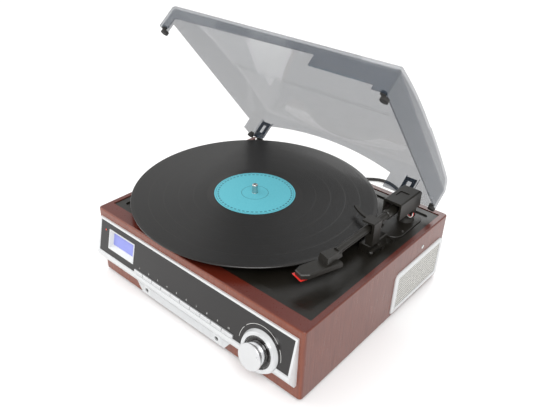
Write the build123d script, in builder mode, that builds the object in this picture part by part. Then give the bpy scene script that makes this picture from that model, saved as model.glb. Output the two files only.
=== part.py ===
"""Record player with a radio front: a veneered cabinet, a belt-driven platter with a
record on it, a pivoted tonearm, ten station keys, a tuning dial and a clear dust cover
that stands open.  Millimetres, +Z up, X to the right along the front, the front faces
-Y, and the origin lies on the table under the middle of the cabinet."""

import os
from math import atan2, cos, degrees, hypot, pi, radians, sin, sqrt, tan

from build123d import *

os.makedirs("parts", exist_ok=True)

# Cabinet
cabinet_width = 320.0
cabinet_depth = 280.0
cabinet_height = 90.0
side_wall = 7.0
front_wall = 17.5
rear_wall = 8.5
corner_radius = 4.0
rim_radius = 1.8
base_thickness = 5.0
board_gap = 0.1
foot_height = 4.0
foot_radius = 9.0
foot_inset = 32.0
cleat_width = 9.0
cleat_height = 12.0

wood_bottom = foot_height
rim_z = wood_bottom + cabinet_height
front_y = -cabinet_depth / 2
rear_y = cabinet_depth / 2
side_x = cabinet_width / 2
inner_x = side_x - side_wall
inner_front_y = front_y + front_wall
inner_rear_y = rear_y - rear_wall
inner_mid_y = (inner_front_y + inner_rear_y) / 2
inner_depth = inner_rear_y - inner_front_y
base_top = wood_bottom + base_thickness

# Deck
deck_drop = 1.0
deck_thickness = 4.5
deck_recess = 2.0
deck_border = 9.0
deck_gap = 0.4

deck_border_z = rim_z - deck_drop
deck_z = deck_border_z - deck_recess
deck_bottom = deck_border_z - deck_thickness

# Platter, spindle and record
spindle_x = -31.0
spindle_y = 0.0
spindle_radius = 3.6
spindle_tip = 12.0
spindle_groove = 0.6
spindle_groove_depth = 0.3
bore_fit = 0.05
platter_radius = 98.0
platter_height = 7.7
platter_gap = 3.5
platter_skin = 3.0
platter_wall = 2.5
hub_radius = 10.0
belt_rim_radius = 75.0
belt_rim_wall = 4.0
mat_thickness = 2.5
mat_inset = 1.5
record_radius = 150.5
record_thickness = 1.8
label_radius = 50.0
label_thickness = 0.2
bush_radius = 6.5
bush_flange_radius = 9.0
bush_flange = 1.5
bush_depth = 18.0

platter_bottom = deck_z + platter_gap
platter_top = platter_bottom + platter_height
mat_top = platter_top + mat_thickness
record_top = mat_top + record_thickness
spindle_top = record_top + spindle_tip
bush_top = deck_z + bush_flange
bush_bottom = deck_z - bush_depth

# Motor and belt
motor_bearing = 225.0
pulley_gap = 5.5
pulley_radius = 5.0
pulley_height = 4.1
belt_width = 3.6
belt_thickness = 1.0
belt_gap = 0.3
motor_radius = 17.5
motor_height = 25.0
motor_shaft_radius = 1.5
bracket_thickness = 1.6
bracket_radius = 27.0
grommet_radius = 4.5
grommet_orbit = 22.0
grommet_height = 3.9
shaft_hole = 8.0

motor_orbit = belt_rim_radius + pulley_gap + pulley_radius
motor_x = spindle_x + motor_orbit * cos(radians(motor_bearing))
motor_y = spindle_y + motor_orbit * sin(radians(motor_bearing))
bracket_top = deck_bottom - grommet_height
bracket_bottom = bracket_top - bracket_thickness
pulley_bottom = platter_bottom + 0.3

# Tonearm
pivot_x = 126.0
pivot_y = 97.0
arm_rise = 15.0
pivot_shaft_radius = 4.0
platform_width = 32.0
platform_depth = 66.0
platform_rise = 2.0
platform_radius = 13.0
collar_radius = 10.5
collar_top_radius = 8.0
collar_height = 6.0
turret_gap = 0.3
turret_radius = 10.0
turret_thickness = 3.0
cheek_thickness = 2.6
cheek_depth = 10.0
arm_slot = 13.6
hood_width = 23.0
hood_front = 39.0
hood_rear = 8.0
hood_height = 21.0
hood_wall = 2.0
hood_roof = 3.0
hood_chamfer = 3.5
hood_bevel = 1.4
pin_radius = 1.6
sleeve_radius = 5.6
sleeve_front = 52.0
sleeve_rear = 4.5
tube_radius = 4.2
tube_length = 146.0
tube_ridge = 1.4
sleeve_bore = 10.0
head_skin = 2.0
head_side = 1.5
headshell_angle = 17.0
headshell_length = 45.0
headshell_width = 18.5
headshell_height = 5.5
headshell_drop = 1.3
headshell_shift = 2.0
elbow_length = 14.0
elbow_height = 7.8
cartridge_length = 21.5
cartridge_width = 13.0
cartridge_height = 4.5
cartridge_back = 20.0
stylus_length = 20.0
stylus_width = 15.0
stylus_tip_height = 0.7
stylus_clearance = 0.7
stylus_reach = 37.0
wire_radius = 0.7

arm_z = record_top + arm_rise
platform_top = deck_z + platform_rise
collar_top = platform_top + collar_height
turret_bottom = collar_top + turret_gap
hood_top = arm_z + tube_radius + 8.3
hood_bottom = hood_top - hood_height

# Arm rest, lift and switches
rest_y = 15.0
rest_depth = 15.0
rest_wall = 3.0
rest_reach = 6.5
rest_side_gap = 1.2
rest_lift_room = 2.9
rest_cradle = 3.5
rest_lip = 2.2
rest_fit = 0.2
bracket_width = 14.5
bracket_front = 7.0
bracket_rear = 42.0
bracket_rise = 11.0
lift_y = 33.0
lift_post_radius = 2.5
lift_bar_width = 4.0
lift_bar_height = 3.0
lift_gap = 0.15
lift_sweep = 40.0
lever_y = 21.0
lever_length = 19.0
lever_drop = 3.8
lever_hub_radius = 3.2
lever_thickness = 3.0
lever_ball_radius = 2.4
switch_length = 5.0
switch_width = 3.2
switch_height = 4.0
speed_y = 47.0
stop_y = 27.0
speed_travel = 6.0

# Front panel, set out on its sloping face
panel_width = 308.0
face_tilt = 12.6
face_height = 39.5
face_mid_z = 62.25
face_proud = 6.7
bezel_top_z = 84.0
bezel_foot_z = 21.0
bezel_wall = 2.6
bezel_foot = 3.7
nose_step = 1.1
nose_z = 37.5
nose_proud = 13.2
chin_proud = 11.8
chin_z = 33.2
frame_side = 2.5
face_thickness = 1.2
face_pocket = 1.5
panel_fit = 0.15
opening_margin = 6.0
opening_low = 27.0
opening_high = 78.0

# Apron under the keys
apron_left = -92.5
apron_right = 68.0
apron_taper = 11.0
apron_bottom = 8.0
apron_proud = 3.6
jack_left = -73.3
jack_right = 45.3
jack_z = 14.4
jack_hole = 2.9
jack_radius = 5.0
jack_bore = 1.8
jack_length = 20.0
jack_nose = 2.0

# Keys
key_count = 10
key_pitch = 16.1
key_gap = 0.7
key_left = -82.6
key_top = -16.8
key_height = 4.3
key_proud = 1.6
key_depth = 6.5
key_fit = 0.3
key_travel = 1.2
key_flange = 0.8
key_stem = 2.4

# Display
display_x = -110.9
display_width = 48.0
display_height = 26.0
window_x = -112.0
window_v = 1.0
window_width = 38.5
window_height = 17.5
display_depth = 4.5
frame_lip = 0.4
frame_edge = 1.2
module_depth = 8.5
lamp_x = -141.6
lamp_v = 9.1
lamp_radius = 1.1

# Dial and knob
dial_x = 113.5
dial_v = -15.0
dial_radius = 23.5
dial_height = 3.8
dial_taper = 25.0
dial_sink = 3.0
dial_fit = 0.2
scale_radius = 17.8
scale_hole = 5.0
scale_height = 2.6
scale_thickness = 2.0
knob_radius = 13.4
knob_gap = 0.9
knob_length = 10.0
cap_radius = 14.5
cap_thickness = 2.4
cap_edge = 0.9
dimple_radius = 1.5
dimple_depth = 0.7
dimple_orbit = 11.4
dimple_angle = 25.0
shaft_radius = 3.0
shaft_gap = 2.0
tuner_radius = 8.0
tuner_depth = 8.0

# Circuit board behind the panel
board_thickness = 1.6
board_w = -14.4
key_board_width = 290.0
key_board_low = -25.0
key_board_high = 14.0
switch_block = 5.0
switch_body = 3.4
post_radius = 3.0

# Loudspeakers
grille_front = 26.0
grille_rear = 135.0
grille_bottom = 8.5
grille_top = 65.0
grille_proud = 2.2
grille_corner = 8.0
grille_foot_corner = 1.5
grille_border = 6.0
grille_bevel = 1.0
mesh_recess = 0.8
mesh_thickness = 1.0
speaker_radius = 28.0
speaker_opening = 25.0
speaker_z = 38.5
speaker_flange = 2.0
speaker_depth = 22.0
magnet_radius = 18.0
magnet_height = 9.0

# Dust cover, drawn closed and then turned about its hinge line
lid_open = 50.5
hinge_y = 128.6
hinge_z = 97.0
lid_width = 302.8
lid_depth = 246.0
lid_back = 10.8
lid_lift = 2.6
lid_wall = 2.2
lid_fold = 24.0
lid_front_height = 30.0
lid_slope_height = 40.0
lid_crown_front = 43.0
lid_step = 1.6
lid_step_y = 127.0
lid_crown_rear = 44.8
lid_rear_height = 42.0
shoulder_inset = 7.0
lid_corner = 4.0
leg_width = 16.0
leg_width_rear = 22.0
left_cut = 14.5
front_cut = 17.5
front_cut_low = 13.4
front_step = 4.7
front_cut_right = 62.0
side_cut = 0.6
rear_cut_right = 76.0
rear_cut_side = 23.0
rear_cut_crown = 35.0
rear_step = 2.4
bumper_size = 8.5
bumper_clearance = 0.5
bumper_grip = 3.0
blade_width = 15.0
blade_thickness = 2.4
blade_height = 26.0
blade_window = 6.5
rail_width = 2.2
rail_fit = 0.15
hinge_right = 104.0
hinge_left = -138.5
knuckle_radius = 2.7
knuckle_width = 9.0
hinge_gap = 0.25
ear_thickness = 2.6
ear_base = 1.0
ear_radius = 3.1
ear_depth = 8.6
hinge_pin_radius = 1.4

# Mains lead
cord_radius = 2.5
cord_fit = 0.05
cord_exit_x = 98.0
cord_exit_z = 22.0
relief_length = 28.0
relief_radius = 5.6
relief_tip_radius = 3.7
relief_flange = 7.0
relief_grip = 10.0
coil_x = -118.0
coil_y = 214.0
coil_turn = 36.7
coil_pitch = 5.5
coil_halves = 6
plug_length = 36.0
plug_width = 20.0
plug_height = 13.0
plug_pin_length = 19.0
plug_pin_radius = 2.0
plug_pin_pitch = 18.6


# Cabinet: front and sides are one folded and wrapped board
with BuildPart() as cabinet_wrap:
    with BuildSketch(Plane.XY.offset(wood_bottom)):
        Rectangle(cabinet_width, cabinet_depth)
        with Locations((0, inner_front_y)):
            Rectangle(
                2 * inner_x,
                cabinet_depth - front_wall,
                align=(Align.CENTER, Align.MIN),
                mode=Mode.SUBTRACT,
            )
    extrude(amount=cabinet_height)
    outer_corners = cabinet_wrap.edges().filter_by(Axis.Z).filter_by(
        lambda edge: abs(edge.center().X) > inner_x + side_wall / 2
    )
    fillet(outer_corners, corner_radius)
    rim = cabinet_wrap.faces().sort_by(Axis.Z)[-1]
    rim_edges = rim.edges().filter_by(
        lambda edge: abs(edge.center().X) > inner_x + side_wall / 2
        or edge.center().Y < inner_front_y - front_wall / 2
    )
    fillet(rim_edges, rim_radius)
    # opening behind the front panel
    with BuildSketch(Plane.XZ.offset(-front_y)):
        with Locations((0, (opening_low + opening_high) / 2)):
            Rectangle(panel_width - 2 * opening_margin, opening_high - opening_low)
    extrude(amount=-front_wall, mode=Mode.SUBTRACT)
    with BuildSketch(Plane.XZ.offset(-front_y)):
        with Locations((jack_left, jack_z), (jack_right, jack_z)):
            Circle(jack_radius + board_gap)
    extrude(amount=-front_wall, mode=Mode.SUBTRACT)
    # loudspeaker openings in both sides
    with BuildSketch(Plane.YZ.offset(-side_x)):
        with Locations(((grille_front + grille_rear) / 2, speaker_z)):
            Circle(speaker_opening)
    extrude(amount=cabinet_width, mode=Mode.SUBTRACT)
cabinet_wrap.part.label = "cabinet_wrap"
export_step(cabinet_wrap.part, "parts/cabinet_wrap.step")

with BuildPart() as cabinet_rear:
    with BuildSketch(Plane.XY.offset(wood_bottom)):
        with Locations((0, rear_y)):
            Rectangle(
                2 * (inner_x - board_gap), rear_wall, align=(Align.CENTER, Align.MAX)
            )
    extrude(amount=cabinet_height)
    with BuildSketch(Plane.XZ.offset(-rear_y)):
        with Locations((cord_exit_x, cord_exit_z)):
            Circle(relief_radius + board_gap)
    extrude(amount=rear_wall, mode=Mode.SUBTRACT)
    top_edge = cabinet_rear.edges().filter_by(Axis.X).group_by(Axis.Z)[-1].sort_by(Axis.Y)[-1]
    fillet(top_edge, rim_radius)
cabinet_rear.part.label = "cabinet_rear"
export_step(cabinet_rear.part, "parts/cabinet_rear.step")

with BuildPart() as cabinet_base:
    with BuildSketch(Plane.XY.offset(wood_bottom)):
        with Locations((0, inner_mid_y)):
            Rectangle(2 * (inner_x - board_gap), inner_depth - 2 * board_gap)
            with GridLocations(12, 0, 7, 1):
                SlotOverall(40, 4, rotation=90, mode=Mode.SUBTRACT)
    extrude(amount=base_thickness)
cabinet_base.part.label = "cabinet_base"
export_step(cabinet_base.part, "parts/cabinet_base.step")

with BuildPart() as feet:
    with BuildSketch(Plane.XY):
        with GridLocations(cabinet_width - 2 * foot_inset, cabinet_depth - 2 * foot_inset, 2, 2):
            Circle(foot_radius)
    extrude(amount=foot_height, taper=6)
feet.part.label = "feet"
export_step(feet.part, "parts/feet.step")

with BuildPart() as cleats:
    with BuildSketch(Plane.XY.offset(deck_bottom)):
        for side in (-1, 1):
            with Locations((side * inner_x, inner_mid_y)):
                Rectangle(
                    cleat_width,
                    inner_depth - 2 * cleat_width,
                    align=(Align.MIN if side < 0 else Align.MAX, Align.CENTER),
                )
    extrude(amount=-cleat_height)
cleats.part.label = "cleats"
export_step(cleats.part, "parts/cleats.step")

with BuildPart() as deck:
    with BuildSketch(Plane.XY.offset(deck_bottom)):
        with Locations((0, inner_mid_y)):
            Rectangle(2 * (inner_x - deck_gap), inner_depth - 2 * deck_gap)
    extrude(amount=deck_thickness)
    with BuildSketch(Plane.XY.offset(deck_border_z)):
        with Locations((0, inner_mid_y)):
            RectangleRounded(
                2 * (inner_x - deck_gap - deck_border),
                inner_depth - 2 * (deck_gap + deck_border),
                4,
            )
    extrude(amount=-deck_recess, taper=30, mode=Mode.SUBTRACT)
    with Locations((spindle_x, spindle_y, deck_border_z)):
        Hole(bush_radius + board_gap)
    with Locations((motor_x, motor_y, deck_border_z)):
        Hole(shaft_hole)
    with Locations((pivot_x, pivot_y, deck_border_z)):
        Hole(pivot_shaft_radius + 2)
    with Locations((pivot_x, lift_y, deck_border_z)):
        Hole(lift_post_radius + 1)
deck.part.label = "deck"
export_step(deck.part, "parts/deck.step")

# Bearing, platter and record
with BuildPart() as bearing_bush:
    with BuildSketch(Plane.XY.offset(bush_bottom)):
        with Locations((spindle_x, spindle_y)):
            Circle(bush_radius)
    extrude(amount=bush_depth)
    with BuildSketch(Plane.XY.offset(deck_z)):
        with Locations((spindle_x, spindle_y)):
            Circle(bush_flange_radius)
    extrude(amount=bush_flange)
    with Locations((spindle_x, spindle_y, bush_top)):
        Hole(spindle_radius + bore_fit, depth=bush_depth + bush_flange - 2)
bearing_bush.part.label = "bearing_bush"
export_step(bearing_bush.part, "parts/bearing_bush.step")

with BuildPart() as platter:
    with BuildSketch(Plane.XY.offset(platter_bottom)):
        with Locations((spindle_x, spindle_y)):
            Circle(platter_radius)
    extrude(amount=platter_height)
    fillet(platter.edges().group_by(Axis.Z)[-1], 1.2)
    with BuildSketch(Plane.XY.offset(platter_bottom)):
        with Locations((spindle_x, spindle_y)):
            Circle(platter_radius - platter_wall)
            Circle(belt_rim_radius, mode=Mode.SUBTRACT)
            Circle(belt_rim_radius - belt_rim_wall)
            Circle(hub_radius, mode=Mode.SUBTRACT)
    extrude(amount=platter_height - platter_skin, mode=Mode.SUBTRACT)
    with BuildSketch(Plane.XY.offset(bush_top + 0.1)):
        with Locations((spindle_x, spindle_y)):
            Circle(hub_radius)
    extrude(amount=platter_bottom - bush_top)
    with Locations((spindle_x, spindle_y, platter_top)):
        Hole(spindle_radius)
platter.part.label = "platter"
export_step(platter.part, "parts/platter.step")

with BuildPart() as platter_mat:
    with BuildSketch(Plane.XY.offset(platter_top)):
        with Locations((spindle_x, spindle_y)):
            Circle(platter_radius - mat_inset)
            Circle(spindle_radius, mode=Mode.SUBTRACT)
    extrude(amount=mat_thickness)
platter_mat.part.label = "platter_mat"
export_step(platter_mat.part, "parts/platter_mat.step")

with BuildPart() as spindle:
    with BuildSketch(Plane.XY.offset(bush_bottom + 2)):
        with Locations((spindle_x, spindle_y)):
            Circle(spindle_radius)
    extrude(amount=spindle_top - bush_bottom - 2)
    fillet(spindle.edges().group_by(Axis.Z)[-1], 1.6)
    with BuildSketch(Plane.XY.offset(record_top + spindle_groove)):
        with Locations((spindle_x, spindle_y)):
            Circle(spindle_radius)
            Circle(spindle_radius - spindle_groove_depth, mode=Mode.SUBTRACT)
    extrude(amount=spindle_groove, mode=Mode.SUBTRACT)
spindle.part.label = "spindle"
export_step(spindle.part, "parts/spindle.step")

with BuildPart() as record:
    with BuildSketch(Plane.XY.offset(mat_top)):
        with Locations((spindle_x, spindle_y)):
            Circle(record_radius)
            Circle(spindle_radius, mode=Mode.SUBTRACT)
    extrude(amount=record_thickness)
    rims = record.edges().filter_by(GeomType.CIRCLE).sort_by(SortBy.RADIUS)[-2:]
    chamfer(rims, 0.5)
record.part.label = "record"
export_step(record.part, "parts/record.step")

with BuildPart() as record_label:
    with BuildSketch(Plane.XY.offset(record_top)):
        with Locations((spindle_x, spindle_y)):
            Circle(label_radius)
            Circle(spindle_radius, mode=Mode.SUBTRACT)
    extrude(amount=label_thickness)
record_label.part.label = "record_label"
export_step(record_label.part, "parts/record_label.step")

# Motor hung under the deck on rubber grommets, with its pulley and the belt
with BuildPart() as motor:
    with BuildSketch(Plane.XY.offset(bracket_bottom)):
        with Locations((motor_x, motor_y)):
            Circle(motor_radius)
    extrude(amount=-motor_height)
    fillet(motor.edges().group_by(Axis.Z)[0], 1.5)
    with Locations((motor_x, motor_y, bracket_bottom)):
        Hole(motor_shaft_radius + bore_fit, depth=10)
motor.part.label = "motor"
export_step(motor.part, "parts/motor.step")

with BuildPart() as motor_bracket:
    with BuildSketch(Plane.XY.offset(bracket_bottom)):
        with Locations((motor_x, motor_y)):
            with PolarLocations(grommet_orbit, 3):
                Circle(grommet_radius + 1.5)
            make_hull()
        with Locations((motor_x, motor_y)):
            Circle(motor_shaft_radius + 3, mode=Mode.SUBTRACT)
    extrude(amount=bracket_thickness)
    # three grommets carry it under the deck
    with BuildSketch(Plane.XY.offset(bracket_top)):
        with Locations((motor_x, motor_y)):
            with PolarLocations(grommet_orbit, 3):
                Circle(grommet_radius)
    extrude(amount=grommet_height)
motor_bracket.part.label = "motor_bracket"
export_step(motor_bracket.part, "parts/motor_bracket.step")

with BuildPart() as motor_pulley:
    with BuildSketch(Plane.XY.offset(bracket_bottom - 8)):
        with Locations((motor_x, motor_y)):
            Circle(motor_shaft_radius)
    extrude(amount=pulley_bottom + pulley_height - bracket_bottom + 8)
    with BuildSketch(Plane.XY.offset(pulley_bottom)):
        with Locations((motor_x, motor_y)):
            Circle(pulley_radius)
    extrude(amount=pulley_height - 0.6)
motor_pulley.part.label = "motor_pulley"
export_step(motor_pulley.part, "parts/motor_pulley.step")

with BuildPart() as drive_belt:
    with BuildSketch(Plane.XY.offset(pulley_bottom + 0.2)) as belt_loop:
        with Locations((spindle_x, spindle_y)):
            Circle(belt_rim_radius + belt_gap + belt_thickness)
        with Locations((motor_x, motor_y)):
            Circle(pulley_radius + belt_gap + belt_thickness)
        make_hull()
        offset(amount=-belt_thickness, mode=Mode.SUBTRACT)
    extrude(amount=belt_width)
drive_belt.part.label = "drive_belt"
export_step(drive_belt.part, "parts/drive_belt.step")

# Tonearm: fixed platform and collar, a turret that swings, and the arm that tilts in it
with BuildPart() as tonearm_base:
    with BuildSketch(Plane.XY.offset(deck_z)):
        with Locations((pivot_x, pivot_y - platform_depth / 2 + platform_width / 2 + 4)):
            RectangleRounded(platform_width, platform_depth, platform_radius)
    extrude(amount=platform_rise)
    chamfer(tonearm_base.edges().group_by(Axis.Z)[-1], 0.6)
    with BuildSketch(Plane.XY.offset(platform_top)):
        with Locations((pivot_x, pivot_y)):
            Circle(collar_radius)
    collar_slope = degrees(atan2(collar_radius - collar_top_radius, collar_height))
    extrude(amount=collar_height, taper=collar_slope)
    with Locations((pivot_x, pivot_y, collar_top)):
        Hole(pivot_shaft_radius + bore_fit)
tonearm_base.part.label = "tonearm_base"
export_step(tonearm_base.part, "parts/tonearm_base.step")

with BuildPart() as pivot_turret:
    with BuildSketch(Plane.XY.offset(deck_bottom - 6)):
        with Locations((pivot_x, pivot_y)):
            Circle(pivot_shaft_radius)
    extrude(amount=turret_bottom - deck_bottom + 6)
    with BuildSketch(Plane.XY.offset(turret_bottom)):
        with Locations((pivot_x, pivot_y)):
            Circle(turret_radius)
    extrude(amount=turret_thickness)
    with BuildSketch(Plane.XY.offset(turret_bottom)):
        for side in (-1, 1):
            with Locations((pivot_x + side * (arm_slot + cheek_thickness) / 2, pivot_y)):
                Rectangle(cheek_thickness, cheek_depth)
    extrude(amount=hood_top - hood_roof - turret_bottom)
    with BuildSketch(Plane.YZ.offset(pivot_x - arm_slot)):
        with Locations((pivot_y, arm_z)):
            Circle(pin_radius + bore_fit)
    extrude(amount=2 * arm_slot, mode=Mode.SUBTRACT)
pivot_turret.part.label = "pivot_turret"
export_step(pivot_turret.part, "parts/pivot_turret.step")

with BuildPart() as pivot_hood:
    with BuildSketch(Plane.XY.offset(hood_bottom)):
        with Locations((pivot_x, pivot_y + (hood_rear - hood_front) / 2)):
            Rectangle(hood_width, hood_front + hood_rear)
    extrude(amount=hood_height)
    rear_edge = pivot_hood.edges().filter_by(Axis.X).group_by(Axis.Z)[-1].sort_by(Axis.Y)[-1]
    chamfer(rear_edge, hood_chamfer)
    side_edges = pivot_hood.edges().filter_by(Axis.Y).group_by(Axis.Z)[-1]
    chamfer(side_edges, hood_bevel)
    # hollow, open in front and below
    with BuildSketch(Plane.XY.offset(hood_bottom)):
        with Locations((pivot_x, pivot_y + hood_rear - hood_wall)):
            Rectangle(
                hood_width - 2 * hood_wall,
                hood_front + hood_rear,
                align=(Align.CENTER, Align.MAX),
            )
    extrude(amount=hood_height - hood_roof, mode=Mode.SUBTRACT)
    # shallow panel on top
    with BuildSketch(Plane.XY.offset(hood_top)):
        with Locations((pivot_x, pivot_y - hood_front / 2 + 2)):
            RectangleRounded(hood_width / 2, hood_front / 3, 1)
    extrude(amount=-hood_roof / 3, mode=Mode.SUBTRACT)
pivot_hood.part.label = "pivot_hood"
export_step(pivot_hood.part, "parts/pivot_hood.step")

with BuildPart() as arm_sleeve:
    with BuildSketch(Plane.XZ.offset(-(pivot_y + sleeve_rear))):
        with Locations((pivot_x, arm_z)):
            Circle(sleeve_radius)
    extrude(amount=sleeve_front + sleeve_rear)
    chamfer(arm_sleeve.edges().group_by(Axis.Y)[0], 0.8)
    with BuildSketch(Plane.XZ.offset(-(pivot_y - sleeve_front))):
        with Locations((pivot_x, arm_z)):
            Circle(tube_radius)
            Rectangle(2 * tube_radius + tube_ridge, tube_ridge)
    extrude(amount=-sleeve_bore, mode=Mode.SUBTRACT)
    pivot_pin = arm_slot + 2 * cheek_thickness
    with BuildSketch(Plane.YZ.offset(pivot_x - pivot_pin / 2)):
        with Locations((pivot_y, arm_z)):
            Circle(pin_radius)
    extrude(amount=pivot_pin)
arm_sleeve.part.label = "arm_sleeve"
export_step(arm_sleeve.part, "parts/arm_sleeve.step")

# Headshell and cartridge, laid out on a plane turned towards the record
turn = radians(headshell_angle)
elbow_y = pivot_y - tube_length
headshell_top = arm_z - tube_radius - headshell_drop
headshell_bottom = headshell_top - headshell_height
HEAD = Plane(
    origin=(pivot_x + headshell_shift, elbow_y - elbow_length / 3, 0),
    x_dir=(cos(turn), -sin(turn), 0),
    z_dir=(0, 0, 1),
)

with BuildPart() as arm_tube:
    with BuildSketch(Plane.XZ.offset(-(pivot_y - sleeve_front + sleeve_bore))):
        with Locations((pivot_x, arm_z)):
            Circle(tube_radius)
            Rectangle(2 * tube_radius + tube_ridge, tube_ridge)
    extrude(amount=tube_length - sleeve_front + sleeve_bore)
    with BuildSketch(Plane.XY.offset(headshell_top)):
        with BuildLine():
            rear_left = (pivot_x - tube_radius - 1.5, elbow_y + 4)
            rear_right = (pivot_x + tube_radius + 1.5, elbow_y + 4)
            front_right = HEAD.from_local_coords(Vector(headshell_width * 0.36, -elbow_length))
            front_left = HEAD.from_local_coords(Vector(-headshell_width * 0.5, -elbow_length))
            mid_left = HEAD.from_local_coords(Vector(-headshell_width * 0.5, -elbow_length * 0.3))
            Polyline(
                rear_left,
                (mid_left.X, mid_left.Y),
                (front_left.X, front_left.Y),
                (front_right.X, front_right.Y),
                rear_right,
                close=True,
            )
        make_face()
    extrude(amount=elbow_height, taper=8)
arm_tube.part.label = "arm_tube"
export_step(arm_tube.part, "parts/arm_tube.step")

with BuildPart() as headshell:
    with BuildSketch(HEAD.offset(headshell_bottom)):
        with BuildLine():
            half = headshell_width / 2
            Polyline(
                (-half, 4),
                (half, 4),
                (half, -headshell_length + 8),
                (half - 4, -headshell_length),
                (-half + 4, -headshell_length),
                (-half, -headshell_length + 8),
                close=True,
            )
        make_face()
    extrude(amount=headshell_height)
    chamfer(headshell.faces().sort_by(Axis.Z)[-1].edges(), 1)
    with BuildSketch(HEAD.offset(headshell_bottom)):
        with Locations((0, -headshell_length / 2)):
            Rectangle(headshell_width - 2 * head_side, headshell_length - 12)
    extrude(amount=headshell_height - head_skin, mode=Mode.SUBTRACT)
headshell.part.label = "headshell"
export_step(headshell.part, "parts/headshell.step")

with BuildPart() as cartridge:
    with BuildSketch(HEAD.offset(headshell_top - head_skin)):
        with Locations((0, -stylus_reach + cartridge_back)):
            Rectangle(cartridge_width, cartridge_length, align=(Align.CENTER, Align.CENTER))
    extrude(amount=-(headshell_height - head_skin) - cartridge_height / 2)
    chamfer(cartridge.faces().sort_by(Axis.Z)[0].edges(), 0.8)
cartridge.part.label = "cartridge"
export_step(cartridge.part, "parts/cartridge.step")

stylus_top = headshell_bottom - 0.1
stylus_shelf = stylus_clearance + record_top + stylus_tip_height
with BuildPart() as stylus:
    with BuildSketch(HEAD.offset(stylus_top)):
        with Locations((0, -stylus_reach)):
            Rectangle(stylus_width, stylus_length)
    with BuildSketch(HEAD.offset(stylus_shelf)):
        with Locations((0, -stylus_reach - 1)):
            Rectangle(stylus_width - 3, stylus_length - 7)
    loft(ruled=True)
    with BuildSketch(HEAD.offset(stylus_shelf)):
        with Locations((0, -stylus_reach - 2)):
            Circle(0.8)
    extrude(amount=-stylus_tip_height, taper=30)
    with BuildSketch(HEAD.offset(headshell_top)):
        with Locations((0, -stylus_reach + cartridge_back)):
            Rectangle(stylus_width + 1, cartridge_length)
    extrude(amount=-20, mode=Mode.SUBTRACT)
stylus.part.label = "stylus"
export_step(stylus.part, "parts/stylus.step")

# Bracket, arm rest, lift and the two sliding switches
bracket_right = pivot_x + bracket_width / 2
bracket_top_z = deck_z + bracket_rise
rest_post_left = pivot_x + tube_radius + tube_ridge / 2 + rest_side_gap
rest_right = rest_post_left + rest_wall
cradle_top = arm_z - tube_radius - rest_fit
lip_bottom = arm_z + tube_radius + rest_lift_room
with BuildPart() as arm_rest:
    with BuildSketch(Plane.XY.offset(deck_z)):
        with Locations((pivot_x, (bracket_front + bracket_rear) / 2)):
            Rectangle(bracket_width, bracket_rear - bracket_front)
    extrude(amount=bracket_rise)
    chamfer(arm_rest.faces().sort_by(Axis.Z)[-1].edges(), 1)
    with Locations((pivot_x, lift_y, bracket_top_z)):
        Hole(lift_post_radius + bore_fit)
    with BuildSketch(Plane.YZ.offset(bracket_right)):
        with Locations((lever_y, bracket_top_z - lever_drop)):
            Circle(lever_hub_radius / 2 + bore_fit)
    extrude(amount=-4, mode=Mode.SUBTRACT)
    with BuildSketch(Plane.XZ.offset(-(rest_y + rest_depth / 2))):
        with BuildLine():
            Polyline(
                (rest_right, bracket_top_z),
                (rest_right, lip_bottom + rest_lip),
                (pivot_x - rest_reach, lip_bottom + rest_lip),
                (pivot_x - rest_reach, lip_bottom),
                (rest_post_left, lip_bottom),
                (rest_post_left, cradle_top),
                (pivot_x - rest_reach, cradle_top),
                (pivot_x - rest_reach, cradle_top - rest_cradle / 2),
                (pivot_x, cradle_top - 2 * rest_cradle),
                (pivot_x, bracket_top_z),
                close=True,
            )
        make_face()
    extrude(amount=rest_depth)
    lip_edge = arm_rest.edges().filter_by(Axis.Y).group_by(Axis.Z)[-1].sort_by(Axis.X)[-1]
    fillet(lip_edge, 1.5)
arm_rest.part.label = "arm_rest"
export_step(arm_rest.part, "parts/arm_rest.step")

lift_bar_top = arm_z - tube_radius - lift_gap
lift_orbit = pivot_y - lift_y
with BuildPart() as arm_lifter:
    with BuildSketch(Plane.XY.offset(lift_bar_top - lift_bar_height)):
        with BuildLine():
            CenterArc((pivot_x, pivot_y), lift_orbit, -90 - lift_sweep, lift_sweep + 5)
        trace(line_width=lift_bar_width)
    extrude(amount=lift_bar_height)
    with BuildSketch(Plane.XY.offset(deck_bottom - 2)):
        with Locations((pivot_x, lift_y)):
            Circle(lift_post_radius)
    extrude(amount=lift_bar_top - lift_bar_height / 2 - deck_bottom + 2)
arm_lifter.part.label = "arm_lifter"
export_step(arm_lifter.part, "parts/arm_lifter.step")

lever_z = bracket_top_z - lever_drop
lever_x = rest_right + 0.3
with BuildPart() as cue_lever:
    with BuildSketch(Plane.YZ.offset(lever_x)):
        with Locations((lever_y, lever_z)):
            Circle(lever_hub_radius)
        with Locations((lever_y, lever_z)):
            Rectangle(
                lever_length,
                lever_hub_radius * 0.8,
                align=(Align.MAX, Align.CENTER),
            )
    extrude(amount=lever_thickness)
    with Locations((lever_x + lever_ball_radius, lever_y - lever_length, lever_z)):
        Sphere(lever_ball_radius)
    with BuildSketch(Plane.YZ.offset(lever_x)):
        with Locations((lever_y, lever_z)):
            Circle(lever_hub_radius / 2)
    extrude(amount=bracket_right - lever_x - 3.5)
cue_lever.part.label = "cue_lever"
export_step(cue_lever.part, "parts/cue_lever.step")

switch_x = pivot_x + platform_width / 2 - 3
with BuildPart() as speed_switch:
    with BuildSketch(Plane.XY.offset(deck_z + 0.15)):
        with Locations((switch_x, speed_y)):
            RectangleRounded(switch_width, switch_length, 0.8)
    extrude(amount=switch_height)
speed_switch.part.label = "speed_switch"
export_step(speed_switch.part, "parts/speed_switch.step")

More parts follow.
